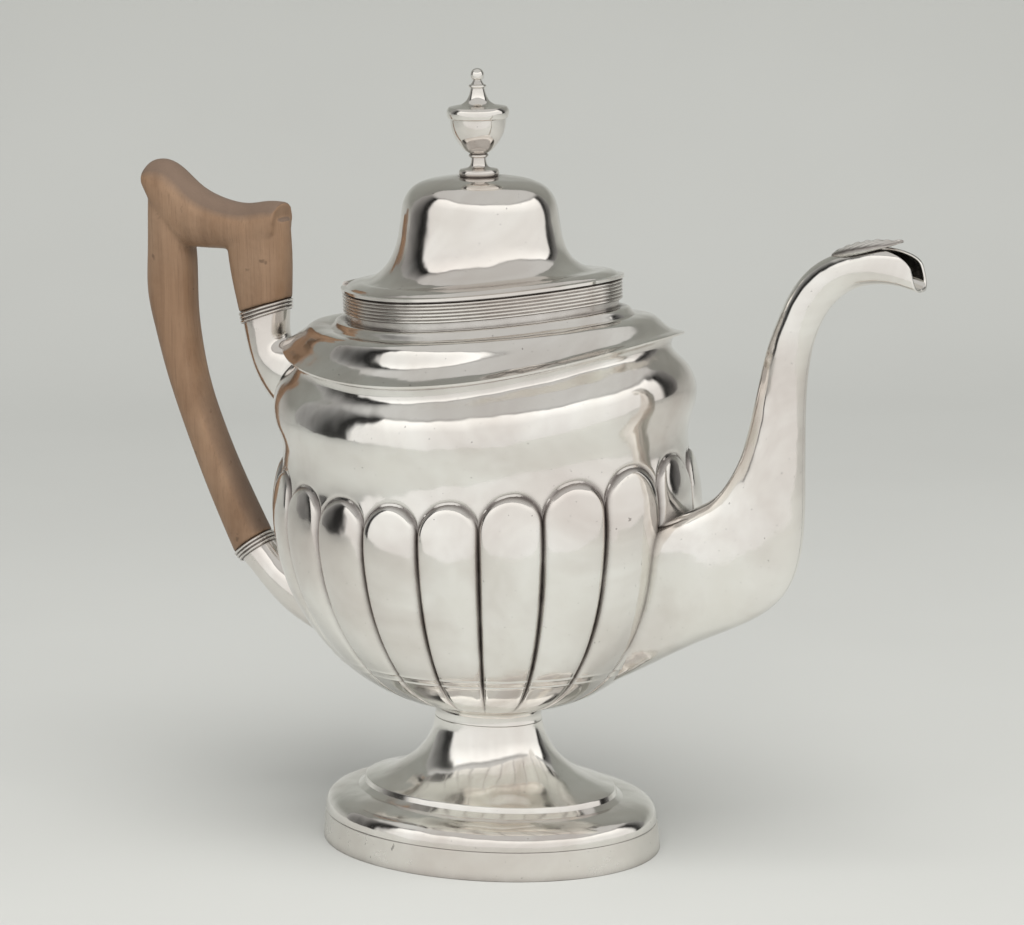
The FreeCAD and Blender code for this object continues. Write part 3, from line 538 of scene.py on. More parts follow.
def finial_piece():
    """The turned urn: stud, base, stem, bowl, cover and knob."""
    turn = np.linspace(-0.92, 0.5 * math.pi, 12)
    knob = [(KNOB_RADIUS * math.cos(a), KNOB_HEIGHT + KNOB_RADIUS * math.sin(a)) for a in turn]
    outline = [
        [(STUD_RADIUS, STUD_BOTTOM), (STUD_RADIUS, LID_TOP)],
        [(STUD_RADIUS, LID_TOP), (6.6, LID_TOP)],
        [(6.6, LID_TOP), (7.1, 246.7), (7.2, 247.3), (7.1, 248.0), (6.6, 248.6)],
        [(6.6, 248.6), (4.4, 249.0)],
        [(4.4, 249.0), (3.3, 249.7), (2.8, 250.9), (2.6, 252.8)],
        [(2.6, 252.8), (3.4, 253.0), (3.6, 253.4), (3.4, 253.8), (2.8, 254.0)],
        [(2.8, 254.0), (4.5, 255.0), (6.7, 257.4), (8.8, 260.8), (9.8, 264.0), (10.1, 266.6)],
        [(10.1, 266.6), (10.8, 267.0)],
        [(10.8, 267.0), (11.1, 268.0), (11.1, 269.6), (10.4, 270.8)],
        [(10.4, 270.8), (8.4, 271.2), (6.2, 271.6)],
        [(6.2, 271.6), (4.4, 272.8), (3.2, 274.8), (2.4, 277.6)],
        [(2.4, 277.6), (3.0, 277.8), (3.2, 278.2), (3.0, 278.6), (2.4, 278.8)],
        [(2.4, 278.8), knob[0]],
        knob,
        [knob[-1], (AXIS, STUD_BOTTOM)],
        [(AXIS, STUD_BOTTOM), (STUD_RADIUS, STUD_BOTTOM)],
    ]
    finial = turned_piece("urn_finial", "finial", outline, "lid", "silver_polished")
    add_bevel(finial, 0.12)


# ---------------------------------------------------------------- limbs
LIMB_AROUND = 96
LIMB_ROWS = 120


def limb_grid(stations, count, around, fullness=2.0, grow=None):
    """Points of a limb through (outer x, z), (inner x, z), half width stations."""
    table = np.array([[o[0], o[1], i[0], i[1], w] for o, i, w in stations], float)
    dense = spline(table, count=count)
    if grow is not None:
        extra = grow(np.linspace(0.0, 1.0, count))
        span = np.hypot(dense[:, 0] - dense[:, 2], dense[:, 1] - dense[:, 3])
        part = (extra / span)[:, None]
        outer = dense[:, 0:2] + (dense[:, 0:2] - dense[:, 2:4]) * part
        inner = dense[:, 2:4] + (dense[:, 2:4] - dense[:, 0:2]) * part
        dense = np.concatenate([outer, inner, dense[:, 4:5] + extra[:, None]], 1)
    angle = np.arange(around) * 2.0 * np.pi / around
    c = np.sign(np.cos(angle)) * np.abs(np.cos(angle)) ** (2.0 / fullness)
    s = np.sign(np.sin(angle)) * np.abs(np.sin(angle)) ** (2.0 / fullness)
    mid = 0.5 * (dense[:, 0:2] + dense[:, 2:4])
    arm = 0.5 * (dense[:, 0:2] - dense[:, 2:4])
    x = mid[:, 0:1] + arm[:, 0:1] * c
    z = mid[:, 1:2] + arm[:, 1:2] * c
    y = dense[:, 4:5] * s
    return np.stack([x, y, z], -1)


def capped(points):
    """Verts, quads and fan triangles of a limb grid closed at both ends."""
    rows, cols = points.shape[:2]
    verts = np.concatenate([points.reshape(-1, 3), points[:1].mean(1), points[-1:].mean(1)])
    quads = grid_quads(rows, cols)
    tris = fans(rows * cols, rows, cols)
    turned = flip_if_inside_out(verts, quads)
    if turned[0][0] != quads[0][0]:
        tris = tris[:, ::-1]
    return verts, turned, tris


def limb_piece(name, node, stations, count, grow=None, **attributes):
    """A silver limb of the pot in place of one CAD node."""
    verts, quads, tris = capped(limb_grid(stations, count, LIMB_AROUND, grow=grow))
    make_object(name, verts, quads, "pot", (node,), "silver_polished", tris=tris, **attributes)


SPOUT = [
    ((50.0, 64.5), (76.0, 127.0), 14.5),
    ((66.0, 72.8), (82.0, 130.0), 16.0),
    ((84.0, 82.5), (91.0, 134.6), 16.2),
    ((101.0, 90.6), (98.2, 139.5), 14.4),
    ((114.0, 97.8), (103.4, 147.0), 12.4),
    ((122.8, 106.5), (106.8, 155.0), 10.8),
    ((127.6, 118.0), (109.4, 163.5), 9.6),
    ((129.4, 133.0), (111.2, 171.0), 8.6),
    ((129.7, 150.0), (113.0, 178.5), 7.9),
    ((129.9, 167.0), (114.8, 186.0), 7.3),
    ((131.0, 183.5), (117.2, 194.0), 6.9),
    ((134.2, 197.0), (120.8, 202.8), 6.5),
    ((139.6, 206.8), (126.3, 213.4), 6.2),
    ((147.5, 213.6), (135.8, 222.8), 5.9),
    ((158.2, 216.6), (149.9, 227.8), 5.7),
    ((167.4, 216.4), (162.2, 229.2), 5.6),
    ((174.2, 214.8), (171.6, 228.2), 5.5),
]
SPOUT_ROWS = 240
SPOUT_AROUND = 112
SPOUT_FINE = 4000
SPOUT_WALL = 0.9
ROOT_WIDER = 0.16
ROOT_EGG = 0.66
ROOT_SQUARE = (2.4, 0.4)
ROOT_REACH = 0.36
LIP_BACK = 0.062
LIP_START = 0.35
LIP_CORNER = 3.2
LIP_SQUARE = 1.4
LIP_REACH = 0.14


def spout_grid(count, around, shrink):
    """The spout's surface: egg-shaped and fuller at the root, cut back at a slant round the lip."""
    table = np.array([[o[0], o[1], i[0], i[1], w] for o, i, w in SPOUT], float)
    fine = spline(table, count=SPOUT_FINE + 1)
    angle = np.arange(around) * 2.0 * np.pi / around
    c = np.cos(angle)
    s = np.sin(angle)
    t = np.linspace(0.0, 1.0, count)[:, None]
    last = 1.0 - LIP_BACK * (np.clip(LIP_START - c, 0.0, None) / (1.0 + LIP_START)) ** LIP_CORNER
    place = t * last[None, :]
    at = np.clip(place * SPOUT_FINE, 0.0, SPOUT_FINE)
    k = np.minimum(at.astype(int), SPOUT_FINE - 1)
    part = (at - k)[..., None]
    rows = fine[k] * (1.0 - part) + fine[k + 1] * part
    root = np.clip(1.0 - place / ROOT_REACH, 0.0, 1.0) ** 1.2
    lip = np.clip(1.0 - (1.0 - place) / LIP_REACH, 0.0, 1.0)
    power = 2.0 / (2.0 + np.where(c < 0.0, *ROOT_SQUARE)[None, :] * root + LIP_SQUARE * lip)
    cc = np.sign(c) * np.abs(c) ** power
    ss = np.sign(s) * np.abs(s) ** power * (1.0 + root * (ROOT_WIDER - ROOT_EGG * 0.5 * (1.0 + cc)))
    span = np.hypot(rows[..., 0] - rows[..., 2], rows[..., 1] - rows[..., 3])
    scale = 1.0 - 2.0 * shrink / span
    x = 0.5 * (rows[..., 0] + rows[..., 2]) + 0.5 * (rows[..., 0] - rows[..., 2]) * cc * scale
    z = 0.5 * (rows[..., 1] + rows[..., 3]) + 0.5 * (rows[..., 1] - rows[..., 3]) * cc * scale
    y = (rows[..., 4] - shrink) * ss
    return np.stack([x, y, z], -1)


def spout_pieces():
    """The two halves of the spout, each a thin shell seamed on the mid plane."""
    outer = spout_grid(SPOUT_ROWS, SPOUT_AROUND, 0.0)
    inner = spout_grid(SPOUT_ROWS, SPOUT_AROUND, SPOUT_WALL)
    half = SPOUT_AROUND // 2
    for name, node, start in (("spout_left_shell", "spout_left_half", 0),
                              ("spout_right_shell", "spout_right_half", half)):
        pick = (np.arange(half + 1) + start) % SPOUT_AROUND
        ring = np.concatenate([outer[:, pick], inner[:, pick[::-1]]], 1)
        make_object(name, ring.reshape(-1, 3), shell_quads(ring), "pot", (node,), "silver_polished")


LEAF_SPINE = [(141.2, 225.9), (145.0, 227.6), (149.5, 229.2), (154.5, 230.3), (159.5, 230.9), (163.8, 231.0),
              (167.4, 231.7)]
LEAF_UNDER = [(141.4, 224.8), (145.0, 225.6), (149.5, 227.0), (154.5, 228.4), (159.5, 229.6), (163.8, 230.4),
              (167.3, 231.3)]
LEAF_HALF = 5.0
LEAF_SAG = 1.1
LEAF_RIBS = 7.0
RIB_SLANT = 2.4
RIB_HEIGHT = 0.8
VEIN_HEIGHT = 0.35
LEAF_THINNEST = 0.5


def leaf_piece():
    """The applied leaf on the lip: a central vein, slanting ribs and a tip that lifts."""
    rows, cols = 120, 61
    u = np.linspace(0.0, 1.0, rows)[:, None]
    v = np.linspace(-1.0, 1.0, cols)[None, :]
    half = LEAF_HALF * np.sin(np.pi * np.clip(u * 0.97 + 0.03, 0, 1)) ** 0.55
    spine = spline([(x, z, 0.0) for x, z in LEAF_SPINE], count=rows)
    under = spline([(x, z, 0.0) for x, z in LEAF_UNDER], count=rows)
    sag = LEAF_SAG * (half / LEAF_HALF) ** 2 * v ** 2
    wave = np.abs(np.sin(np.pi * (LEAF_RIBS * u + RIB_SLANT * np.abs(v))))
    ribs = RIB_HEIGHT * wave * (1.0 - np.abs(v) ** 6) * np.sin(np.pi * u) ** 0.3
    vein = VEIN_HEIGHT * np.exp(-(v / 0.08) ** 2)
    x = spine[:, 0:1] + 0.0 * v
    top = spine[:, 1:2] - sag + ribs + vein
    low = np.minimum(under[:, 1:2] - sag, top - LEAF_THINNEST)
    upper = np.stack([x, half * v, top], -1)
    lower = np.stack([x, half * v, low], -1)
    ring = np.concatenate([upper, lower[:, ::-1]], 1)
    # depth marks the hollows between the ribs, which the silver darkens with painted shade.
    depth = 1.0 - np.clip(ribs / 0.5, 0.0, 1.0)
    groove = np.concatenate([depth, np.zeros_like(depth)], 1)
    make_object("lip_leaf", ring.reshape(-1, 3), shell_quads(ring), "pot", ("spout_leaf",), "silver_polished",
                groove=groove.reshape(-1))


UPPER_SOCKET = [
    ((-105.0, 190.2), (-84.7, 196.4), 7.6),
    ((-102.9, 182.0), (-85.6, 188.5), 8.0),
    ((-99.4, 171.0), (-85.2, 182.0), 8.6),
    ((-93.4, 160.4), (-79.5, 181.4), 9.8),
    ((-83.5, 152.4), (-68.0, 181.6), 11.2),
    ((-68.0, 148.0), (-55.0, 180.5), 12.2),
]
LOWER_SOCKET = [
    ((-110.2, 97.3), (-97.0, 107.0), 7.2),
    ((-106.2, 94.4), (-93.4, 103.4), 7.4),
    ((-99.0, 87.6), (-87.4, 98.0), 7.8),
    ((-88.6, 78.6), (-78.4, 94.0), 8.6),
    ((-74.5, 71.4), (-67.5, 90.5), 9.6),
    ((-58.0, 66.0), (-54.0, 86.5), 10.4),
]
GRIP = [
    ((-145.4, 236.0), (-133.0, 231.0), 7.4),
    ((-146.0, 226.0), (-130.4, 221.5), 7.8),
    ((-146.9, 211.0), (-128.0, 211.0), 7.8),
    ((-147.3, 195.5), (-127.9, 195.5), 7.8),
    ((-144.6, 183.5), (-127.6, 184.5), 7.8),
    ((-140.2, 168.0), (-124.8, 167.0), 7.6),
    ((-132.6, 147.0), (-118.2, 147.5), 7.4),
    ((-121.2, 120.0), (-108.6, 127.5), 7.3),
    ((-110.2, 97.3), (-97.0, 107.0), 7.2),
]
HEAD = [
    ((-147.2, 242.0), (-146.2, 235.0), 6.6),
    ((-144.8, 245.2), (-142.0, 227.0), 7.8),
    ((-139.2, 246.2), (-137.0, 218.0), 8.2),
    ((-132.8, 243.4), (-131.0, 214.0), 8.2),
    ((-125.6, 237.8), (-124.6, 213.6), 8.0),
    ((-118.4, 234.2), (-118.0, 213.6), 7.9),
    ((-109.4, 231.8), (-109.4, 213.4), 7.8),
    ((-100.4, 231.4), (-100.8, 211.0), 7.8),
    ((-92.0, 232.6), (-93.6, 211.0), 7.7),
    ((-85.4, 232.4), (-87.4, 217.0), 7.0),
]
STUB = [
    ((-110.5, 222.0), (-84.5, 226.0), 7.6),
    ((-109.3, 210.0), (-84.0, 214.0), 7.8),
    ((-107.2, 199.0), (-84.2, 205.0), 7.7),
    ((-105.0, 190.2), (-84.7, 196.4), 7.5),
]
FERRULE_HEIGHT = 4.2
FERRULE_REEDS = 3
FERRULE_ROWS = 49
CARVING = ((GRIP, 2.4), (HEAD, 2.3), (STUB, 2.6))
CARVING_ROWS = 90
CARVING_AROUND = 64


def mouth_band(stations, height):
    """The two stations at the mouth of a socket that are a band of this height apart."""
    a, b = [np.array([*outer, *inner, width]) for outer, inner, width in stations[:2]]
    gap = np.linalg.norm(0.5 * (a[0:2] + a[2:4] - b[0:2] - b[2:4]))
    c = a + (b - a) * height / gap
    return [stations[0], ((c[0], c[1]), (c[2], c[3]), c[4])]


def reed_wave(t):
    """0 in the valleys and 1 on the crests of the reeds round a socket's mouth."""
    return np.abs(np.sin(np.pi * FERRULE_REEDS * t))


def handle_pieces():
    """The two silver sockets, their reeded mouths, and the carved handle as one smooth piece of wood."""
    for end, node, stations in (("top", "upper", UPPER_SOCKET), ("bottom", "lower", LOWER_SOCKET)):
        limb_piece("handle_socket_" + end, node + "_socket", stations, LIMB_ROWS)
        # valleys marks the reed valleys, which the silver darkens with painted shade.
        valleys = np.repeat(1.0 - reed_wave(np.linspace(0, 1, FERRULE_ROWS)), LIMB_AROUND)
        limb_piece("reeds_" + end, node + "_ferrule", mouth_band(stations, FERRULE_HEIGHT), FERRULE_ROWS,
                   grow=lambda t: 0.35 + 0.75 * reed_wave(t) ** 0.8,
                   groove=np.concatenate([valleys, [0.0, 0.0]]))
    verts, quads, tris = [], [], []
    base = 0
    for stations, fullness in CARVING:
        v, q, t = capped(limb_grid(stations, CARVING_ROWS, CARVING_AROUND, fullness))
        verts.append(v)
        quads.append(q + base)
        tris.append(t + base)
        base += len(v)
    handle = make_object("carved_handle", np.concatenate(verts), np.concatenate(quads), "pot",
                         ("wooden_handle",), "wood", tris=np.concatenate(tris))
    remesh = handle.modifiers.new("carve", "REMESH")
    remesh.mode = "VOXEL"
    remesh.voxel_size = 0.6 * MM
    remesh.use_smooth_shade = True
    smooth = handle.modifiers.new("round", "SMOOTH")
    smooth.factor = 0.5
    smooth.iterations = 10


# ---------------------------------------------------------------- materials
class Nodes:
    """A short way to write a node tree."""

    def __init__(self, tree):
        self.tree = tree

    def add(self, kind, values=(), **settings):
        node = self.tree.nodes.new(kind)
        for key, value in settings.items():
            setattr(node, key, value)
        for key, value in dict(values).items():
            if hasattr(value, "links"):
                self.tree.links.new(value, node.inputs[key])
            else:
                node.inputs[key].default_value = value
        return node

    def maths(self, operation, a, b=0.0, c=0.0):
        return self.add("ShaderNodeMath", {0: a, 1: b, 2: c}, operation=operation).outputs[0]

    def ramp(self, value, low, high, out_low=0.0, out_high=1.0):
        node = self.add("ShaderNodeMapRange", {"Value": value, "From Min": low, "From Max": high,
                                               "To Min": out_low, "To Max": out_high})
        return node.outputs["Result"]

    def noise(self, vector, scale, detail=3.0, roughness=0.5, distortion=0.0):
        node = self.add("ShaderNodeTexNoise", {"Vector": vector, "Scale": scale, "Detail": detail,
                                               "Roughness": roughness, "Distortion": distortion})
        return node.outputs["Fac"]

    def mix(self, factor, a, b, blend="MIX"):
        node = self.add("ShaderNodeMix", data_type="RGBA", blend_type=blend)
        for socket, value in (("Factor_Float", factor), ("A_Color", a), ("B_Color", b)):
            target = next(s for s in node.inputs if s.identifier == socket)
            if hasattr(value, "links"):
                self.tree.links.new(value, target)
            else:
                target.default_value = value
        return next(s for s in node.outputs if s.identifier == "Result_Color")

    def stretch(self, vector, scale, rotation=(0.0, 0.0, 0.0)):
        settings = {"Vector": vector, "Scale": scale, "Rotation": rotation}
        return self.add("ShaderNodeMapping", settings).outputs[0]


def new_material(name):
    """A material with a principled shader, its node writer and the object's own coordinates."""
    material = bpy.data.materials.new(name)
    material.use_nodes = True
    material.node_tree.nodes.clear()
    nodes = Nodes(material.node_tree)
    output = nodes.add("ShaderNodeOutputMaterial")
    shader = nodes.add("ShaderNodeBsdfPrincipled")
    material.node_tree.links.new(shader.outputs[0], output.inputs["Surface"])
    place = nodes.add("ShaderNodeTexCoord").outputs["Object"]
    return material, nodes, shader, place


FILM_PINK = (0.60, 0.53, 0.49, 1.0)
# Brown of the painted shade in the creases and channels.
PAINTED_SHADE_BROWN = (0.15, 0.125, 0.118, 1.0)
PIT_BLACK = (0.12, 0.1, 0.09, 1.0)


def silver(name, rough, dents, scratches, tarnish, tint=(0.93, 0.915, 0.88)):
    """Old silver: soft dents, polishing scratches, and brown painted shade in the creases and channels."""
    material, n, shader, place = new_material(name)
    groove = n.add("ShaderNodeAttribute", attribute_name="groove").outputs["Fac"]
    # Painted shade: occlusion and the groove attribute darken creases, channels, reed valleys and leaf ribs
    # brown.
    shade = n.add("ShaderNodeAmbientOcclusion", {"Distance": 0.004}, samples=6).outputs["AO"]
    crevice_shade = n.ramp(shade, 0.35, 0.9, 1.0, 0.0)
    cloud = n.noise(place, 55.0, 5.0, 0.62)
    blotch = n.noise(place, 16.0, 4.0, 0.6, 0.6)
    hollow = n.maths("MAXIMUM", n.maths("MULTIPLY", crevice_shade, 0.75), groove)
    hollow = n.maths("MULTIPLY", hollow, n.ramp(cloud, 0.25, 0.65, 0.55, 1.0))
    film = n.maths("MULTIPLY", n.ramp(blotch, 0.42, 0.75), tarnish)
    dark = n.maths("MINIMUM", hollow, 1.0)
    clean = n.mix(n.ramp(cloud, 0.35, 0.7), (tint[0], tint[1], tint[2], 1.0),
                  (tint[0] * 0.95, tint[1] * 0.945, tint[2] * 0.93, 1.0))
    clean = n.mix(film, clean, FILM_PINK)
    colour = n.mix(dark, clean, PAINTED_SHADE_BROWN)
    small_pit = n.ramp(n.noise(place, 900.0, 2.0, 0.5), 0.735, 0.76)
    large_pit = n.ramp(n.noise(place, 170.0, 3.0, 0.6), 0.745, 0.765)
    pit = n.maths("MAXIMUM", small_pit, large_pit)
    colour = n.mix(n.maths("MULTIPLY", pit, 0.55), colour, PIT_BLACK)
    fine = n.noise(n.stretch(place, (1.0, 1.0, 9.0), (0.4, 0.2, 0.0)), 700.0, 2.0, 0.6)
    coarse = n.noise(n.stretch(place, (1.0, 7.0, 1.0), (0.0, 0.5, 0.9)), 420.0, 3.0, 0.6)
    scratch = n.maths("ADD", n.maths("MULTIPLY", fine, 0.6), n.maths("MULTIPLY", coarse, 0.4))
    worn = n.ramp(cloud, 0.3, 0.75, rough * 0.7, rough * 1.5)
    roughness = n.maths("ADD", worn, n.maths("MULTIPLY", dark, 0.38))
    broad = n.noise(place, 26.0, 2.0, 0.45)
    close = n.noise(place, 95.0, 1.5, 0.4)
    dent = n.maths("ADD", broad, n.maths("MULTIPLY", close, 0.20))
    big = n.add("ShaderNodeBump", {"Strength": 1.0, "Distance": dents, "Height": dent})
    small = n.add("ShaderNodeBump", {"Strength": 1.0, "Distance": scratches, "Height": scratch,
                                     "Normal": big.outputs[0]})
    links = material.node_tree.links
    links.new(colour, shader.inputs["Base Color"])
    links.new(roughness, shader.inputs["Roughness"])
    links.new(small.outputs[0], shader.inputs["Normal"])
    shader.inputs["Metallic"].default_value = 1.0
    return material


WOOD_DARK = (0.185, 0.108, 0.062, 1.0)
WOOD_MID = (0.285, 0.178, 0.108, 1.0)
WOOD_PALE = (0.33, 0.225, 0.15, 1.0)
WOOD_PORE = (0.12, 0.07, 0.042, 1.0)
# Painted shade on upward faces and in corners.
WOOD_TOP_SHADE = (0.135, 0.098, 0.076, 1.0)
WOOD_CORNER_SHADE = (0.045, 0.028, 0.018, 1.0)
WOOD_SPOT = (0.09, 0.055, 0.035, 1.0)
GRAIN_LEAN = (0.0, 0.16, 0.0)


def wood():
    """Waxed light-brown wood with long fine grain, with painted shade on its upward faces and in the corners.
    """
    material, n, shader, place = new_material("wood")
    along = n.stretch(place, (1.0, 1.0, 0.06), GRAIN_LEAN)
    bands = n.noise(along, 160.0, 4.0, 0.6, 0.4)
    pores = n.noise(n.stretch(place, (1.0, 1.0, 0.03), GRAIN_LEAN), 1800.0, 2.0, 0.5)
    cloud = n.noise(place, 34.0, 5.0, 0.62)
    base = n.mix(n.ramp(bands, 0.3, 0.72), WOOD_DARK, WOOD_MID)
    base = n.mix(n.ramp(cloud, 0.38, 0.72, 0.0, 0.6), base, WOOD_PALE)
    base = n.mix(n.maths("MULTIPLY", n.ramp(pores, 0.56, 0.72), 0.3), base, WOOD_PORE)
    # Painted shade: faces that point up are darkened.
    up = n.add("ShaderNodeSeparateXYZ", {0: n.add("ShaderNodeNewGeometry").outputs["Normal"]}).outputs[2]
    base = n.mix(n.ramp(up, 0.22, 0.5, 0.0, 0.85), base, WOOD_TOP_SHADE)
    # Painted shade: occlusion darkens the corners and creases.
    shade = n.add("ShaderNodeAmbientOcclusion", {"Distance": 0.010}, samples=8).outputs["AO"]
    base = n.mix(n.ramp(shade, 0.25, 0.8, 0.85, 0.0), base, WOOD_CORNER_SHADE)
    spots = n.ramp(n.noise(place, 210.0, 2.0, 0.5), 0.70, 0.76, 0.0, 0.6)
    base = n.mix(spots, base, WOOD_SPOT)
    carved = n.maths("MULTIPLY", n.noise(place, 60.0, 4.0, 0.55), 1.9)
    height = n.maths("ADD", n.maths("MULTIPLY", pores, 0.35), carved)
    bump = n.add("ShaderNodeBump", {"Strength": 1.0, "Distance": 0.0004, "Height": height})
    links = material.node_tree.links
    links.new(base, shader.inputs["Base Color"])
    links.new(n.ramp(cloud, 0.3, 0.7, 0.42, 0.6), shader.inputs["Roughness"])
    links.new(bump.outputs[0], shader.inputs["Normal"])
    shader.inputs["Specular IOR Level"].default_value = 0.35
    return material


def paint_everything():
    """Gives every shown piece its finish from its material slot."""
    polished = silver("silver_polished", 0.11, 0.0017, 0.000004, 0.85)
    satin = silver("silver_satin", 0.30, 0.0006, 0.00004, 0.6, (0.86, 0.84, 0.80))
    finishes = {"silver_polished": polished, "silver_satin": satin, "wood": wood()}
    slots = {s["node"]: s["material_slot"] for s in frame["record"]["subparts"]}
    for obj in bpy.data.objects:
        if obj.type != "MESH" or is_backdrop(obj):
            continue
        slot = obj.get("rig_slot", slots.get(obj.get("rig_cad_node")))
        if slot is None:
            continue
        obj.data.materials.clear()
        obj.data.materials.append(finishes[slot])


# ---------------------------------------------------------------- studio
VIEW_AZIMUTH = 32.0
CAMERA_DISTANCE = 1343.0
CAMERA_HEIGHT = 399.0
AIM_HEIGHT = 141.6
LENS = 132.4
ROLL = 1.0
AXIS_SHIFT = 28.0 / 1024.0
FLOOR_FRONT = 0.46
FLOOR_BACK = 0.9
SHEET_BEND = 0.7
SHEET_TOP = 3.0
SHEET_HALF = 2.6
PANEL_LEFT = -1.46
PANEL_RIGHT = 1.68
PANEL_TOP = 0.70
PANEL_LIGHT = 0.90
PANEL_EDGE = 0.07
RIGHT_GAP = (0.16, 0.95)
LEFT_GAP = (0.2, 1.0)
SURROUND = 0.60


def camera():
    """The photo's viewpoint: toward the spout's side, from slightly above."""
    data = bpy.data.cameras.new("camera")
    data.lens = LENS
    data.sensor_width = 36.0
    data.shift_x = AXIS_SHIFT
    data.clip_start = 0.05
    obj = bpy.data.objects.new("camera", data)
    bpy.context.scene.collection.objects.link(obj)
    az = math.radians(VIEW_AZIMUTH)
    eye = Vector((math.sin(az), -math.cos(az), 0.0)) * CAMERA_DISTANCE * MM
    eye.z = CAMERA_HEIGHT * MM
    aim = Vector((0.0, 0.0, AIM_HEIGHT * MM))
    turn = (aim - eye).to_track_quat("-Z", "Y").to_matrix().to_4x4()
    roll = Matrix.Rotation(math.radians(-ROLL), 4, "Z")
    obj.matrix_world = Matrix.Translation(eye) @ turn @ roll
    bpy.context.scene.camera = obj


def backdrop():
    """A pale seamless sheet: floor that curves up behind the pot, darkened upward with painted shade, clear
    when seen from behind.
    """
    az = math.radians(VIEW_AZIMUTH)
    away = np.array([-math.sin(az), math.cos(az)])
    side = np.array([math.cos(az), math.sin(az)])
    profile = [(-FLOOR_FRONT, 0.0), (FLOOR_BACK, 0.0)]
    steps = 24
    for k in range(1, steps + 1):
        a = 0.5 * math.pi * k / steps
        profile.append((FLOOR_BACK + SHEET_BEND * math.sin(a), SHEET_BEND * (1.0 - math.cos(a))))
    profile.append((FLOOR_BACK + SHEET_BEND, SHEET_TOP))
    verts = []
    for d, z in profile:
        for w in (-SHEET_HALF, SHEET_HALF):
            p = away * d + side * w
            verts.append((p[0], p[1], z))
    mesh = bpy.data.meshes.new("backdrop")
    mesh.from_pydata(verts, [], [(2 * i, 2 * i + 1, 2 * i + 3, 2 * i + 2) for i in range(len(profile) - 1)])
    mesh.polygons.foreach_set("use_smooth", np.ones(len(mesh.polygons), bool))
    obj = bpy.data.objects.new("backdrop", mesh)
    bpy.context.scene.collection.objects.link(obj)
    material, n, shader, place = new_material("paper")
    tone = n.noise(place, 3.0, 3.0, 0.5)
    colour = n.mix(n.ramp(tone, 0.3, 0.7), (0.535, 0.545, 0.532, 1.0), (0.562, 0.573, 0.560, 1.0))
    # Painted shade: the sheet's colour darkens toward its top.
    height = n.add("ShaderNodeSeparateXYZ", {0: place}).outputs[2]
    colour = n.mix(n.ramp(height, 0.0, 0.8, 0.0, 0.85), colour, (0.235, 0.243, 0.226, 1.0))
    material.node_tree.links.new(colour, shader.inputs["Base Color"])
    shader.inputs["Roughness"].default_value = 0.85
    behind = n.add("ShaderNodeNewGeometry").outputs["Backfacing"]
    sheet = n.add("ShaderNodeMixShader", {0: behind, 1: shader.outputs[0],
                                          2: n.add("ShaderNodeBsdfTransparent").outputs[0]})
    output = next(node for node in material.node_tree.nodes if node.type == "OUTPUT_MATERIAL")
    material.node_tree.links.new(sheet.outputs[0], output.inputs["Surface"])
    mesh.materials.append(material)


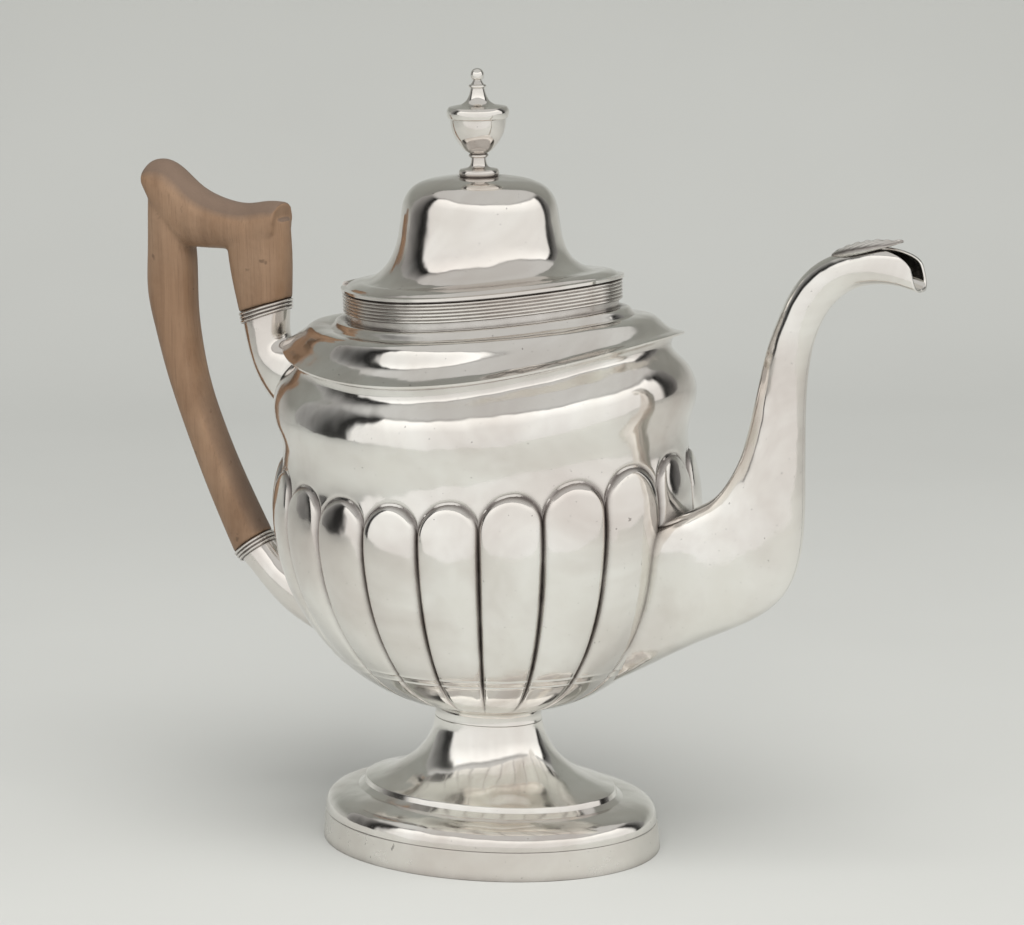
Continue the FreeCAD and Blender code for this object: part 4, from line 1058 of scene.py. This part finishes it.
def studio_world():
    """Soft surroundings: a wide bright panel on the camera's side, with a dark gap at either side of it."""
    world = bpy.data.worlds.new("studio")
    bpy.context.scene.world = world
    world.use_nodes = True
    tree = world.node_tree
    tree.nodes.clear()
    n = Nodes(tree)
    out = n.add("ShaderNodeOutputWorld")
    back = n.add("ShaderNodeBackground")
    tree.links.new(back.outputs[0], out.inputs["Surface"])
    direction = n.add("ShaderNodeTexCoord").outputs["Generated"]
    turned = n.add("ShaderNodeVectorRotate", {"Vector": direction, "Angle": -math.radians(VIEW_AZIMUTH)},
                   rotation_type="Z_AXIS").outputs[0]
    parts = n.add("ShaderNodeSeparateXYZ", {0: turned})
    right, forward, up = parts.outputs[0], parts.outputs[1], parts.outputs[2]
    toward = n.maths("MULTIPLY", forward, -1.0)
    turn = n.maths("ARCTAN2", right, toward)
    elevation = n.maths("ARCSINE", up)
    side = n.maths("MULTIPLY", n.ramp(turn, PANEL_RIGHT, PANEL_RIGHT + PANEL_EDGE, 1.0, 0.0),
                   n.ramp(turn, PANEL_LEFT - PANEL_EDGE, PANEL_LEFT))
    top = n.ramp(elevation, PANEL_TOP, PANEL_TOP + 0.06, 1.0, 0.0)
    panel = n.maths("MULTIPLY", side, top)
    right_gap = n.ramp(turn, PANEL_RIGHT + RIGHT_GAP[0], PANEL_RIGHT + RIGHT_GAP[1], 1.0, 0.0)
    left_gap = n.ramp(turn, PANEL_LEFT - LEFT_GAP[1], PANEL_LEFT - LEFT_GAP[0])
    frame_side = n.maths("MULTIPLY", right_gap, left_gap)
    frame_top = n.ramp(elevation, PANEL_TOP - 0.02, PANEL_TOP + 0.12, 1.0, 0.0)
    dark = n.maths("MULTIPLY", frame_side, frame_top)
    rest = n.maths("MULTIPLY", n.maths("SUBTRACT", 1.0, dark), SURROUND)
    low_part = n.ramp(elevation, -0.35, 0.2, 0.92, 1.0)
    high_part = n.ramp(elevation, 0.32, PANEL_TOP, 1.0, 1.36)
    falling = n.maths("MULTIPLY", low_part, high_part)
    glow = n.maths("ADD", n.maths("MULTIPLY", n.maths("MULTIPLY", panel, falling), PANEL_LIGHT), rest)
    strength = n.maths("ADD", glow, 0.02)
    tree.links.new(strength, back.inputs["Strength"])
    back.inputs["Color"].default_value = (1.0, 0.99, 0.965, 1.0)


LAMP_COLOUR = (1.0, 0.98, 0.95)
LAMP_AIM = Vector((0.0, 0.0, 0.14))


def area_light(name, azimuth, elevation, distance, size, power):
    """A soft rectangular lamp that lights the pot but isn't mirrored in it; angles from the camera's side."""
    data = bpy.data.lights.new(name, "AREA")
    data.shape = "RECTANGLE"
    data.size, data.size_y = size
    data.energy = power
    data.color = LAMP_COLOUR
    obj = bpy.data.objects.new(name, data)
    bpy.context.scene.collection.objects.link(obj)
    az = math.radians(VIEW_AZIMUTH + azimuth)
    el = math.radians(elevation)
    place = Vector((math.sin(az) * math.cos(el), -math.cos(az) * math.cos(el), math.sin(el))) * distance
    turn = (-place).to_track_quat("-Z", "Y").to_matrix().to_4x4()
    obj.matrix_world = Matrix.Translation(place + LAMP_AIM) @ turn
    obj.visible_glossy = False


body_piece()
foot_pieces()
shoulder_piece()
collar_pieces()
lid_pieces()
finial_piece()
spout_pieces()
leaf_piece()
handle_pieces()
paint_everything()
backdrop()
studio_world()
area_light("overhead", 10.0, 62.0, 1.7, (1.7, 1.2), 30.0)
camera()
scene = bpy.context.scene
scene.view_settings.view_transform = "Standard"
